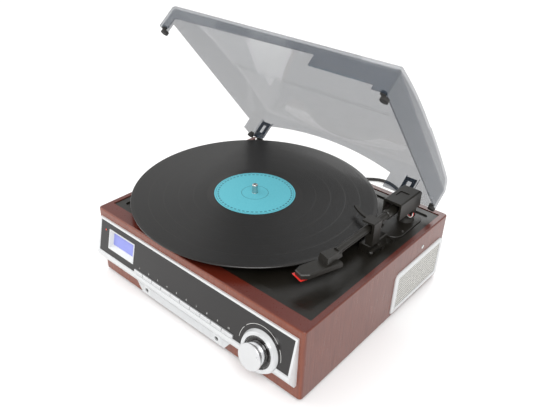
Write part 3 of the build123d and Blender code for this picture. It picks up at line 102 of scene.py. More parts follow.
BLACK = Finish("black_moulding", (0.009, 0.008, 0.006), (0.015, 0.013, 0.010), 0.38)
DECK = Finish("deck_black", (0.007, 0.006, 0.004), (0.013, 0.011, 0.008), 0.36, scale=1600)
GLOSS_BLACK = Finish(
    "gloss_black", (0.010, 0.009, 0.009), (0.016, 0.014, 0.013), 0.16, 0.03, bump=0.00001
)
RUBBER = Finish("rubber_black", (0.020, 0.019, 0.018), (0.034, 0.032, 0.030), 0.72, 0.1)
SILVER = Finish(
    "silver_paint", (0.62, 0.63, 0.64), (0.69, 0.70, 0.70), 0.34, 0.06, 0.25, scale=2400
)
KEY_SILVER = Finish(
    "key_silver", (0.56, 0.565, 0.57), (0.66, 0.665, 0.67), 0.30, 0.05, 0.45, scale=2400
)
CHROME = Finish(
    "bright_chrome", (0.80, 0.80, 0.81), (0.86, 0.86, 0.87), 0.09, 0.03, 1.0, bump=0.000004
)
SATIN = Finish(
    "satin_metal", (0.66, 0.665, 0.67), (0.74, 0.745, 0.75), 0.34, 0.07, 1.0,
    scale=1200, stretch=(1.0, 1.0, 14.0),
)
STEEL = Finish("bright_steel", (0.55, 0.55, 0.54), (0.64, 0.64, 0.63), 0.26, 0.06, 1.0)
CAST = Finish("turned_aluminium", (0.40, 0.40, 0.40), (0.48, 0.48, 0.48), 0.38, 0.06, 1.0)
BRASS = Finish("bush_brass", (0.55, 0.40, 0.15), (0.62, 0.47, 0.20), 0.35, 0.08, 1.0)
RED = Finish("red_plastic", (0.62, 0.012, 0.010), (0.72, 0.03, 0.02), 0.28, 0.05, coat=0.3)
BOARD = Finish("raw_board", (0.24, 0.15, 0.085), (0.32, 0.21, 0.13), 0.7, 0.1, bump=0.0001)
CIRCUIT = Finish("circuit_board", (0.03, 0.16, 0.07), (0.05, 0.22, 0.10), 0.4)
SCREEN = Finish(
    "display_glass", (0.20, 0.23, 0.62), (0.30, 0.33, 0.74), 0.14, 0.03, scale=90, bump=0.0
)
PRINT = Finish("white_print", (0.62, 0.62, 0.60), (0.70, 0.70, 0.68), 0.5, bump=0.0)
WIRE_RED = Finish("wire_red", (0.55, 0.02, 0.02), (0.66, 0.04, 0.03), 0.4)
WIRE_WHITE = Finish("wire_white", (0.66, 0.65, 0.62), (0.74, 0.73, 0.70), 0.4)
FLOOR = Finish("studio_floor", (0.93, 0.93, 0.93), (0.94, 0.94, 0.94), 0.75, 0.02, bump=0.0)


class Graph:
    """Thin wrapper around a material's node tree that reads in object coordinates."""

    def __init__(self, name: str) -> None:
        """Creates the material and its shader.

        Args:
            name: Name of the material.
        """
        self.material = bpy.data.materials.new(name)
        self.material.use_nodes = True
        self.tree = self.material.node_tree
        self.tree.nodes.clear()
        self.output = self.node("ShaderNodeOutputMaterial")
        self.shader = self.node("ShaderNodeBsdfPrincipled")
        self.link(self.shader.outputs["BSDF"], self.output.inputs["Surface"])
        self.place = self.node("ShaderNodeTexCoord").outputs["Object"]

    def node(self, kind: str, **values: object) -> bpy.types.Node:
        """Adds one node and sets its plain properties.

        Args:
            kind: Blender's class name of the node.
            **values: Properties to set on it.

        Returns:
            The node.
        """
        made = self.tree.nodes.new(kind)
        for key, value in values.items():
            setattr(made, key, value)
        return made

    def link(self, start: bpy.types.NodeSocket, end: bpy.types.NodeSocket) -> None:
        """Joins an output to an input.

        Args:
            start: The output.
            end: The input.
        """
        self.tree.links.new(start, end)

    def math(self, operation: str, *terms: object) -> bpy.types.NodeSocket:
        """Adds a math node.

        Args:
            operation: Name of the operation.
            *terms: Numbers or sockets, one for each input.

        Returns:
            The result.
        """
        made = self.node("ShaderNodeMath", operation=operation)
        for socket, term in zip(made.inputs, terms):
            if isinstance(term, bpy.types.NodeSocket):
                self.link(term, socket)
            else:
                socket.default_value = term
        return made.outputs[0]

    def axes(self) -> tuple[bpy.types.NodeSocket, ...]:
        """Splits the object coordinates.

        Returns:
            X, Y and Z.
        """
        made = self.node("ShaderNodeSeparateXYZ")
        self.link(self.place, made.inputs[0])
        return tuple(made.outputs)

    def noise(self, scale: float, detail: float, stretch: Point) -> bpy.types.NodeSocket:
        """Adds a noise field.

        Args:
            scale: Frequency per metre.
            detail: Octaves.
            stretch: Factor on each axis.

        Returns:
            A value around 0.5.
        """
        mapping = self.node("ShaderNodeMapping")
        mapping.inputs["Scale"].default_value = stretch
        self.link(self.place, mapping.inputs["Vector"])
        made = self.node("ShaderNodeTexNoise")
        made.inputs["Scale"].default_value = scale
        made.inputs["Detail"].default_value = detail
        self.link(mapping.outputs[0], made.inputs["Vector"])
        return made.outputs["Fac"]

    def blend(self, factor: object, first: object, second: object) -> bpy.types.NodeSocket:
        """Mixes two colours.

        Args:
            factor: Number or socket from 0 to 1.
            first: Colour or socket at 0.
            second: Colour or socket at 1.

        Returns:
            The mixed colour.
        """
        made = self.node("ShaderNodeMix", data_type="RGBA")
        for index, term in ((0, factor), (6, first), (7, second)):
            if isinstance(term, bpy.types.NodeSocket):
                self.link(term, made.inputs[index])
            elif index == 0:
                made.inputs[0].default_value = term
            else:
                made.inputs[index].default_value = (*term, 1.0)
        return made.outputs[2]

    def span(self, value: object, low: float, high: float, a: float, b: float) -> bpy.types.NodeSocket:
        """Maps one range to another and clamps.

        Args:
            value: The value.
            low: Start of its range.
            high: End of its range.
            a: Result at the start.
            b: Result at the end.

        Returns:
            The mapped value.
        """
        made = self.node("ShaderNodeMapRange")
        self.link(value, made.inputs["Value"])
        for name, number in (("From Min", low), ("From Max", high), ("To Min", a), ("To Max", b)):
            made.inputs[name].default_value = number
        return made.outputs["Result"]

    def relief(self, height: bpy.types.NodeSocket, depth: float) -> None:
        """Adds a bump.

        Args:
            height: Field from 0 to 1.
            depth: Its real depth in metres.
        """
        made = self.node("ShaderNodeBump")
        made.inputs["Strength"].default_value = 1.0
        made.inputs["Distance"].default_value = depth
        self.link(height, made.inputs["Height"])
        self.link(made.outputs["Normal"], self.shader.inputs["Normal"])

    def set(self, **values: object) -> None:
        """Sets shader inputs by name, with underscores for blanks.

        Args:
            **values: Numbers, colours or sockets.
        """
        for key, value in values.items():
            socket = self.shader.inputs[key.replace("_", " ")]
            if isinstance(value, bpy.types.NodeSocket):
                self.link(value, socket)
            elif isinstance(value, tuple):
                socket.default_value = (*value, 1.0)
            else:
                socket.default_value = value


class Paints:
    """Makes each material once.

    Attributes:
        LIT_FRONT: Y over which the lighter front gives way to the darker sides; the front is painted
            lighter as painted light on that face.
        SHADED_RIM: Z over which the walls give way to the rim, which is painted darker as painted shade.
        GROOVE_PITCH: Distance of the drawn grooves.
        BAND_PITCH: Distance of the smooth bands between the pieces of music.
        RUN_OUT: Radii over which the grooves start outside the smooth run-out.
        LEAD_IN: Radii over which they end at the smooth lead-in.
        DASH_RING: Radius and half width of the label's ring of dashes.
        DASHES: Number of dashes.
        FINE_RING: Radius and half width of the thin outer ring.
        INNER_RING: Radius and half width of the ring around the hole.
    """

    LIT_FRONT = (-0.1395, -0.137)
    SHADED_RIM = (0.0932, 0.0938)
    GROOVE_PITCH = 0.0011
    BAND_PITCH = 0.0178
    RUN_OUT = (0.0585, 0.0592)
    LEAD_IN = (0.1462, 0.1468)
    DASH_RING = (0.0452, 0.0009)
    DASHES = 54
    FINE_RING = (0.0480, 0.00025)
    INNER_RING = (0.0165, 0.0003)

    def __init__(self) -> None:
        """Starts with no materials."""
        self._made: dict[str, bpy.types.Material] = {}

    def plain(self, finish: Finish) -> bpy.types.Material:
        """Material of a finish: mottled colour, uneven roughness and fine relief.

        Args:
            finish: What it looks like.

        Returns:
            The material.
        """
        if finish.name in self._made:
            return self._made[finish.name]
        graph = Graph(finish.name)
        fine = graph.noise(finish.scale, 3.0, finish.stretch)
        broad = graph.noise(finish.scale / 40, 2.0, (1.0, 1.0, 1.0))
        shade = graph.math("MULTIPLY_ADD", broad, 0.5, graph.math("MULTIPLY", fine, 0.5))
        graph.set(
            Base_Color=graph.blend(shade, finish.base, finish.second),
            Roughness=graph.span(
                broad, 0.3, 0.7, finish.roughness - finish.spread, finish.roughness + finish.spread
            ),
            Metallic=finish.metallic,
            Specular_IOR_Level=finish.specular,
            Coat_Weight=finish.coat,
        )
        if finish.bump:
            graph.relief(fine, finish.bump)
        return self._keep(graph)

    def _keep(self, graph: Graph) -> bpy.types.Material:
        """Stores and returns a finished material.

        Args:
            graph: The finished graph.

        Returns:
            Its material.
        """
        self._made[graph.material.name] = graph.material
        return graph.material

    def veneer(self) -> bpy.types.Material:
        """Reddish mahogany foil: upright grain on the walls, along X on the rim; the front is painted
        lighter as painted light, and the rim darker as painted shade.

        Returns:
            The material.
        """
        graph = Graph("mahogany_foil")
        _, y, z = graph.axes()
        along = graph.noise(55.0, 5.0, (9.0, 9.0, 0.55))
        pores = graph.noise(420.0, 3.0, (3.0, 3.0, 0.12))
        grain = graph.math("ADD", graph.math("MULTIPLY", along, 0.75), graph.math("MULTIPLY", pores, 0.25))
        dark = graph.blend(grain, (0.060, 0.007, 0.003), (0.19, 0.036, 0.012))
        light = graph.blend(grain, (0.15, 0.024, 0.008), (0.36, 0.092, 0.030))
        # Painted light: the same foil is painted lighter on the front face than on the sides and rear.
        front = graph.span(y, *self.LIT_FRONT, 1.0, 0.0)
        colour = graph.blend(graph.math("MULTIPLY", front, 0.45), dark, light)
        # Painted shade: the top rim of the walls is painted darker.
        rim = graph.span(z, *self.SHADED_RIM, 0.0, 1.0)
        graph.set(
            Base_Color=graph.blend(graph.math("MULTIPLY", rim, 0.6), colour, (0.075, 0.007, 0.005)),
            Roughness=graph.span(grain, 0.3, 0.7, 0.34, 0.26),
            Coat_Weight=0.25,
            Coat_Roughness=0.2,
        )
        graph.relief(pores, 0.00003)
        return self._keep(graph)

    @staticmethod
    def _polar(
        graph: Graph, centre: Point
    ) -> tuple[bpy.types.NodeSocket, bpy.types.NodeSocket, bpy.types.NodeSocket]:
        """Offsets from an upright axis and the distance to it.

        Args:
            graph: Material that is being made.
            centre: A point of the axis.

        Returns:
            Offset along X, offset along Y and distance.
        """
        x, y, _ = graph.axes()
        dx = graph.math("SUBTRACT", x, centre[0])
        dy = graph.math("SUBTRACT", y, centre[1])
        square = graph.math("ADD", graph.math("MULTIPLY", dx, dx), graph.math("MULTIPLY", dy, dy))
        return dx, dy, graph.math("SQRT", square)

    def vinyl(self, centre: Point) -> bpy.types.Material:
        """Record with fine grooves, bands between the pieces and a smooth run-out.

        Args:
            centre: Centre of the record.

        Returns:
            The material.
        """
        graph = Graph("grooved_vinyl")
        _, _, radius = self._polar(graph, centre)
        wave = graph.math("SINE", graph.math("MULTIPLY", radius, 2 * math.pi / self.GROOVE_PITCH))
        grooves = graph.math("MULTIPLY_ADD", wave, 0.5, 0.5)
        wide = graph.math("SINE", graph.math("MULTIPLY", radius, 2 * math.pi / self.BAND_PITCH))
        bands = graph.span(wide, 0.955, 0.985, 0.0, 1.0)
        inner = graph.span(radius, *self.RUN_OUT, 1.0, 0.0)
        outer = graph.span(radius, *self.LEAD_IN, 0.0, 1.0)
        smooth = graph.math("MAXIMUM", graph.math("MAXIMUM", bands, inner), outer)
        cut = graph.math("MULTIPLY", grooves, graph.math("SUBTRACT", 1.0, smooth))
        # Painted sheen: the smooth bands, run-out and lead-in get a slightly lighter base colour; their
        # lower roughness is real.
        graph.set(
            Base_Color=graph.blend(smooth, (0.006, 0.0055, 0.005), (0.011, 0.010, 0.009)),
            Roughness=graph.math("MULTIPLY_ADD", smooth, -0.05, 0.33),
            Specular_IOR_Level=0.42,
        )
        graph.relief(cut, 0.00006)
        return self._keep(graph)

    def label(self, centre: Point) -> bpy.types.Material:
        """Cyan paper label with a generic printed ring of dashes.

        Args:
            centre: Centre of the record.

        Returns:
            The material.
        """
        graph = Graph("label_paper")
        dx, dy, radius = self._polar(graph, centre)
        turn = graph.math("ARCTAN2", dy, dx)
        paper = graph.noise(700.0, 3.0, (1.0, 1.0, 1.0))
        base = graph.blend(paper, (0.085, 0.43, 0.52), (0.13, 0.52, 0.60))

        def ring(at: float, width: float) -> bpy.types.NodeSocket:
            """Marks a printed ring.

            Args:
                at: Its radius.
                width: Half its width.

            Returns:
                1 on the ring.
            """
            off = graph.math("ABSOLUTE", graph.math("SUBTRACT", radius, at))
            return graph.math("LESS_THAN", off, width)

        def dashes(count: int, share: float) -> bpy.types.NodeSocket:
            """Marks dashes around the label.

            Args:
                count: How many there are.
                share: Level of the wave that a dash starts at.

            Returns:
                1 on a dash.
            """
            wave = graph.math("SINE", graph.math("MULTIPLY", turn, float(count)))
            return graph.math("GREATER_THAN", wave, share)

        outer = graph.math("MULTIPLY", ring(*self.DASH_RING), dashes(self.DASHES, -0.2))
        fine = ring(*self.FINE_RING)
        inner = ring(*self.INNER_RING)
        ink = graph.math("MAXIMUM", graph.math("MAXIMUM", outer, fine), inner)
        graph.set(
            Base_Color=graph.blend(graph.math("MULTIPLY", ink, 0.75), base, (0.015, 0.07, 0.10)),
            Roughness=0.55,
        )
        graph.relief(paper, 0.00002)
        return self._keep(graph)

    def mesh(self, pitch: float, hole: float) -> bpy.types.Material:
        """Punched metal behind a grille: staggered holes in Y and Z, painted dark as painted shade of the
        cabinet's inside together with the black speaker behind them.

        Args:
            pitch: Distance of the holes.
            hole: Their radius.

        Returns:
            The material.
        """
        graph = Graph("punched_mesh")
        _, y, z = graph.axes()

        def spots(shift: float) -> bpy.types.NodeSocket:
            """Marks a square grid of round holes.

            Args:
                shift: Offset of the grid, in pitches.

            Returns:
                1 in a hole.
            """
            parts = []
            for value in (y, z):
                cell = graph.math("FRACT", graph.math("MULTIPLY_ADD", value, 1 / pitch, 50.0 + shift))
                parts.append(graph.math("SUBTRACT", cell, 0.5))
            squares = [graph.math("MULTIPLY", part, part) for part in parts]
            square = graph.math("ADD", *squares)
            return graph.math("LESS_THAN", square, (hole / pitch) ** 2)

        holes = graph.math("MAXIMUM", spots(0.0), spots(0.5))
        paint = graph.noise(800.0, 2.0, (1.0, 1.0, 1.0))
        metal = graph.blend(paint, (0.74, 0.73, 0.69), (0.80, 0.79, 0.75))
        # The holes are painted dark: painted shade of the cabinet's inside, with the black speakers seen
        # through them.
        graph.set(
            Base_Color=graph.blend(holes, metal, (0.10, 0.098, 0.092)),
            Roughness=0.5,
            Metallic=0.2,
        )
        graph.relief(graph.math("SUBTRACT", 1.0, holes), 0.0004)
        return self._keep(graph)

    def smoked(self) -> bpy.types.Material:
        """Clear smoked acrylic of the dust cover.

        Returns:
            The material.
        """
        graph = Graph("smoked_acrylic")
        haze = graph.noise(26.0, 2.0, (1.0, 1.0, 1.0))
        graph.set(
            Base_Color=graph.blend(haze, (0.030, 0.044, 0.066), (0.040, 0.055, 0.078)),
            Roughness=0.06,
            Alpha=0.44,
            IOR=1.49,
            Specular_IOR_Level=0.4,
            Coat_Weight=0.1,
        )
        graph.relief(haze, 0.00002)
        graph.material.surface_render_method = "BLENDED"
        return self._keep(graph)


class Workshop:
    """Turns meshes and curves into pieces that ride on a body."""

    def __init__(self, paints: Paints) -> None:
        """Keeps the materials.

        Args:
            paints: Where materials come from.
        """
        self.paints = paints

    def solid(
        self,
        name: str,
        build: Callable[[bmesh.types.BMesh], None],
        body: Body,
        paint: bpy.types.Material,
    ) -> bpy.types.Object:
        """Makes one mesh piece.

        Args:
            name: Name of the piece.
            build: Fills the mesh.
            body: What it moves with.
            paint: Its material.

        Returns:
            The piece.
        """
        mesh = bmesh.new()
        build(mesh)
        bmesh.ops.recalc_face_normals(mesh, faces=mesh.faces)
        data = bpy.data.meshes.new(name)
        mesh.to_mesh(data)
        mesh.free()
        data.materials.append(paint)
        made = bpy.data.objects.new(name, data)
        bpy.context.scene.collection.objects.link(made)
        self.attach(made, body)
        return made

    def attach(self, piece: bpy.types.Object, body: Body) -> None:
        """Says what a piece rides on.

        Args:
            piece: The piece.
            body: What it moves with.
        """
        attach(piece, body.value)

    def tube(
        self,
        name: str,
        points: Sequence[Point],
        radius: float,
        body: Body,
        paint: bpy.types.Material,
    ) -> bpy.types.Object:
        """Makes a round cord along a NURBS line.

        Args:
            name: Name of the piece.
            points: Control points in metres.
            radius: Radius in metres.
            body: What it moves with.
            paint: Its material.

        Returns:
            The curve.
        """
        data = bpy.data.curves.new(name, "CURVE")
        data.dimensions = "3D"
        data.bevel_depth = radius
        data.bevel_resolution = 4
        data.resolution_u = 5
        data.use_fill_caps = True
        spline = data.splines.new("NURBS")
        spline.points.add(len(points) - 1)
        for point, place in zip(spline.points, points):
            point.co = (*place, 1.0)
        spline.order_u = 3
        spline.use_endpoint_u = True
        data.materials.append(paint)
        made = bpy.data.objects.new(name, data)
        bpy.context.scene.collection.objects.link(made)
        self.attach(made, body)
        return made


@dataclass(frozen=True)
class Face:
    """The sloping front: a point is X, V up the slope and W out of it, in millimetres."""

    proud: float = 146.7
    middle: float = 62.25
    tilt: float = math.radians(12.6)

    def at(self, x: float, v: float, w: float) -> Vector:
        """Place of a point of the face.

        Args:
            x: Along the front.
            v: Up the slope.
            w: Out of the slope.

        Returns:
            The point in metres.
        """
        s, c = math.sin(self.tilt), math.cos(self.tilt)
        return Vector((x, -self.proud + v * s - w * c, self.middle + v * c + w * s)) * MM


@dataclass
class MainsLead:
    """The mains lead: open run, two layers of coil and a tail to the plug.

    Attributes:
        radius: Radius of the lead.
        route: Control points of the open run, in millimetres.
        centre: Centre of the coil.
        first: Largest radius of the coil.
        pitch: Distance of neighbouring turns.
        halves: Half turns of the first layer.
        tail: Steps from the end of the coil to the plug.
        steps: Control points of a half turn.
    """

    radius: float = 2.5
    route: tuple[Point, ...] = (
        (98, 158, 22), (98, 182, 22), (95, 208, 9), (89, 232, 2.5), (72, 256, 2.5), (42, 274, 2.5),
        (9, 300, 2.5), (-22, 309.5, 2.5), (-50, 289, 2.5), (-70, 262, 2.5), (-93, 250.7, 2.5),
    )
    centre: tuple[float, float] = (-118.0, 214.0)
    first: float = 36.7
    pitch: float = 5.5
    halves: int = 6
    tail: tuple[Point, ...] = (
        (-24, 0, 0.2), (-49, -2, -5.5), (-72, -4, -5.5), (-92, -4.5, -1.5),
    )
    steps: int = 8

    def coil(self) -> list[Point]:
        """Control points of the coil and the tail.

        Returns:
            Points in millimetres.
        """
        radii = [self.first - self.pitch / 2 * n for n in range(self.halves)]
        climb = radii[-1] - self.pitch / 2
        back = [radii[-1] + self.pitch / 2 * n for n in range(self.halves - 1)]
        x, y = self.centre[0], self.centre[1] + self.first
        side, low, points = 1, self.radius, []
        plan = [(r, 0.0) for r in radii] + [(climb, self.pitch)] + [(r, 0.0) for r in back]
        swell = 1 / math.cos(math.pi / (2 * self.steps))
        for radius, rise in plan:
            middle = y - side * radius
            for step in range(self.steps):
                share = (step + 0.5) / self.steps
                angle = math.pi * share + (math.pi / 2 if side > 0 else -math.pi / 2)
                points.append(
                    (
                        x + radius * swell * math.cos(angle),
                        middle + radius * swell * math.sin(angle),
                        low + rise * share,
                    )
                )
            y -= 2 * side * radius
            side, low = -side, low + rise
        points.append((x - 6, y, low))
        points += [(x + dx, y + dy, low + dz) for dx, dy, dz in self.tail]
        return points

    def build(self, shop: Workshop) -> None:
        """Makes the lead in place of its solids.

        Args:
            shop: Makes the piece.
        """
        points = [tuple(c * MM for c in p) for p in (*self.route, *self.coil())]
        lead = shop.tube(
            "mains_lead", points, self.radius * MM, Body.BASE, shop.paints.plain(RUBBER)
        )
        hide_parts("power_cord", "power_cord_coil")


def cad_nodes() -> dict[str, bpy.types.Object]:
    """The frame's CAD nodes by name.

    Returns:
        The nodes.
    """
    return FRAME["nodes"]


def box(mesh: bmesh.types.BMesh, corners: Sequence[Vector]) -> None:
    """Adds a closed six-sided block.

    Args:
        mesh: Where it goes.
        corners: Four corners of one face, then the four opposite them.
    """
    verts = [mesh.verts.new(c) for c in corners]
    for quad in ((0, 1, 2, 3), (7, 6, 5, 4), (0, 4, 5, 1), (1, 5, 6, 2), (2, 6, 7, 3), (3, 7, 4, 0)):
        mesh.faces.new([verts[i] for i in quad])


def disc(
    mesh: bmesh.types.BMesh, profile: Iterable[tuple[float, float]], frame: Matrix, count: int
) -> None:
    """Turns a profile of radius and height about an axis.

    Args:
        mesh: Where it goes.
        profile: Radius and height pairs in metres, from the axis outwards and back.
        frame: Turns the local axes, with Z as the axis.
        count: Number of sides.
    """
    rings = []
    for radius, height in profile:
        if radius < 1e-7:
            rings.append([mesh.verts.new(frame @ Vector((0, 0, height)))])
            continue
        rings.append(
            [
                mesh.verts.new(
                    frame @ Vector((radius * math.cos(t), radius * math.sin(t), height))
                )
                for t in (2 * math.pi * k / count for k in range(count))
            ]
        )
    for lower, upper in zip(rings, rings[1:]):
        for k in range(count):
            n = (k + 1) % count
            if len(lower) == 1:
                mesh.faces.new((lower[0], upper[k], upper[n]))
            elif len(upper) == 1:
                mesh.faces.new((lower[k], upper[0], lower[n]))
            else:
                mesh.faces.new((lower[k], upper[k], upper[n], lower[n]))


@dataclass
class FrontPrint:
    """White print on the black face: volume arcs, ticks, key numbers and the lamp.

    Attributes:
        face: The sloping front.
        centre: Centre of the volume arcs.
        arc_radius: Their radius.
        arcs: Start and end angles of each, in degrees.
        stroke: Half the width of an arc.
        thickness: Thickness of the print.
        panel_level: Height of the arcs on the face.
        ring_radius: Radius of the tick marks on the black scale.
        ring_centre: Their centre.
        ring_level: Their height.
        ticks: Number of them.
        tick_start: Angle of the first, in degrees.
        tick_sweep: Angle from the first to the last.
        tick_long: Length of each fifth.
        tick_short: Length of the others.
        tick_half: Half their width.
        keys: Number of keys.
        key_left: Left edge of the first key.
        key_pitch: Distance of the keys.
        number_shift: How far a number stands left of its key's middle.
        number_foot: Height of the numbers on the face.
        number_level: Height over it.
        number_size: Size of the numbers.
        number_relief: Half their thickness.
        lamp: Place of the lamp on the face.
    """

    face: Face = field(default_factory=Face)
    centre: tuple[float, float] = (112.8, -14.2)
    arc_radius: float = 27.5
    arcs: tuple[tuple[float, float], ...] = ((178.3, 147.3), (140.2, 43.4), (31.6, 3.7))
    stroke: float = 0.22
    thickness: float = 0.04
    panel_level: float = -0.29
    ring_radius: float = 16.4
    ring_centre: tuple[float, float] = (113.5, -15.0)
    ring_level: float = 2.61
    ticks: int = 41
    tick_start: float = -50
    tick_sweep: float = 280
    tick_long: float = 1.5
    tick_short: float = 0.8
    tick_half: float = 0.12
    keys: int = 10
    key_left: float = -82.6
    key_pitch: float = 16.1
    number_shift: float = 0.35
    number_foot: float = -13.6
    number_level: float = -0.25
    number_size: float = 3.0
    number_relief: float = 0.02
    lamp: Point = (-141.6, 9.1, -0.1)

    def _patch(self, mesh: bmesh.types.BMesh, quad: Sequence[tuple[float, float]], w: float) -> None:
        """Adds one thin printed patch.

        Args:
            mesh: Where it goes.
            quad: Its corners on the face, in millimetres.
            w: Its height above the face.
        """
        top = [self.face.at(x, v, w + self.thickness) for x, v in quad]
        base = [self.face.at(x, v, w) for x, v in quad]
        box(mesh, base + top)

    def _arcs(self, mesh: bmesh.types.BMesh) -> None:
        """Adds the arcs.

        Args:
            mesh: Where they go.
        """
        for start, end in self.arcs:
            steps = max(4, int(abs(end - start) / 4))
            for k in range(steps):
                a = math.radians(start + (end - start) * k / steps)
                b = math.radians(start + (end - start) * (k + 1) / steps)
                quad = []
                for t, side in ((a, -1), (b, -1), (b, 1), (a, 1)):
                    radius = self.arc_radius + side * self.stroke
                    x = self.centre[0] + radius * math.cos(t)
                    v = self.centre[1] + radius * math.sin(t)
                    quad.append((x, v))
                self._patch(mesh, quad, self.panel_level)

    def _ticks(self, mesh: bmesh.types.BMesh) -> None:
        """Adds the tick marks of the black scale around the knob.

        Args:
            mesh: Where they go.
        """
        for k in range(self.ticks):
            t = math.radians(self.tick_start + self.tick_sweep * k / (self.ticks - 1))
            half = (self.tick_long if k % 5 == 0 else self.tick_short) / 2
            out, side = Vector((math.cos(t), math.sin(t))), Vector((-math.sin(t), math.cos(t)))
            corners = []
            for r, across in ((-1, -1), (1, -1), (1, 1), (-1, 1)):
                spot = Vector(self.ring_centre) + out * (self.ring_radius + r * half)
                spot += side * across * self.tick_half
                corners.append((spot.x, spot.y))
            self._patch(mesh, corners, self.ring_level)

    def build(self, shop: Workshop) -> None:
        """Makes the print.

        Args:
            shop: Makes the pieces.
        """
        paint = shop.paints.plain(PRINT)
        shop.solid("volume_arcs", self._arcs, Body.BASE, paint)
        shop.solid("scale_ticks", self._ticks, Body.BASE, paint)
        self._numbers(shop, paint)
        self._lamp(shop)

    def _numbers(self, shop: Workshop, paint: bpy.types.Material) -> None:
        """Sets a plain number above each key.

        Args:
            shop: Makes the pieces.
            paint: White print.
        """
        turn = Matrix.Rotation(math.pi / 2 - self.face.tilt, 4, "X")
        for n in range(self.keys):
            data = bpy.data.curves.new(f"key_number_{n + 1}", "FONT")
            data.body = str(n + 1)
            data.size = self.number_size * MM
            data.align_x = "CENTER"
            data.extrude = self.number_relief * MM
            made = bpy.data.objects.new(data.name, data)
            bpy.context.scene.collection.objects.link(made)
            across = self.key_left + (n + 0.5) * self.key_pitch - self.number_shift
            spot = self.face.at(across, self.number_foot, self.number_level)
            bpy.context.view_layer.update()
            mesh = bpy.data.meshes.new_from_object(made)
            mesh.transform(Matrix.Translation(spot) @ turn)
            bpy.data.objects.remove(made)
            piece = bpy.data.objects.new(data.name, mesh)
            bpy.context.scene.collection.objects.link(piece)
            mesh.materials.clear()
            mesh.materials.append(paint)
            shop.attach(piece, Body.BASE)

    def _lamp(self, shop: Workshop) -> None:
        """Adds the lens of the power lamp.

        Args:
            shop: Makes the piece.
        """
        turn = Matrix.Rotation(math.pi / 2 - self.face.tilt, 4, "X")
        frame = Matrix.Translation(self.face.at(*self.lamp)) @ turn
        profile = [(0, 0), (0.0011, 0), (0.0011, 0.0002), (0.0008, 0.0006), (0, 0.0008)]
        red = shop.paints.plain(RED)
        shop.solid("lamp_lens", lambda m: disc(m, profile, frame, 20), Body.BASE, red)


@dataclass
class ApronRibs:
    """Fine upright ribs on the strip under the keys.

    Attributes:
        left: Left end of the strip's top edge.
        right: Right end of the strip's top edge.
        taper: How far its lower corners are drawn in.
        bottom: Lower edge.
        top: Upper edge.
        proud: How far it stands out of the cabinet.
        pitch: Distance of the ribs.
        margin: Distance from the strip's ends to the first and last rib.
        rise: Height over which the lower corners are drawn in.
        shortest: Least height of a rib.
        front: Distance from the middle to the cabinet's front.
        foot: Half the width of a rib at its foot.
        crest: Half its width at its crest, and its height.
        jacks: Places of the sockets.
        jack_room: Half the width that stays free around a socket.
    """

    left: float = -92.5
    right: float = 68.0
    taper: float = 11.0
    bottom: float = 8.9
    top: float = 20.2
    proud: float = 3.6
    pitch: float = 2.1
    margin: float = 2
    rise: float = 13
    shortest: float = 2
    front: float = 140
    foot: float = 0.75
    crest: float = 0.45
    jacks: tuple[float, ...] = (-73.3, 45.3)
    jack_room: float = 5.2

    def _ribs(self, mesh: bmesh.types.BMesh) -> None:
        """Adds the ribs.

        Args:
            mesh: Where they go.
        """
        count = int((self.right - self.left - 2 * self.margin) / self.pitch)
        y = -(self.front + self.proud)
        for k in range(count + 1):
            x = self.left + self.margin + k * self.pitch
            if any(abs(x - jack) < self.jack_room for jack in self.jacks):
                continue
            edge = min(x - self.left, self.right - x)
            low = self.bottom
            if edge < self.taper + 1:
                low = self.bottom + (self.taper + 1 - edge) * self.rise / self.taper
            if self.top - low < self.shortest:
                continue
            outline = ((-1, low), (1, low), (1, self.top), (-1, self.top))
            front = [Vector((x + side * self.crest, y - self.crest, z)) * MM for side, z in outline]
            back = [Vector((x + side * self.foot, y, z)) * MM for side, z in outline]
            box(mesh, back + front)

    def build(self, shop: Workshop) -> None:
        """Makes the ribs.

        Args:
            shop: Makes the piece.
        """
        shop.solid("apron_ribs", self._ribs, Body.BASE, shop.paints.plain(SILVER))


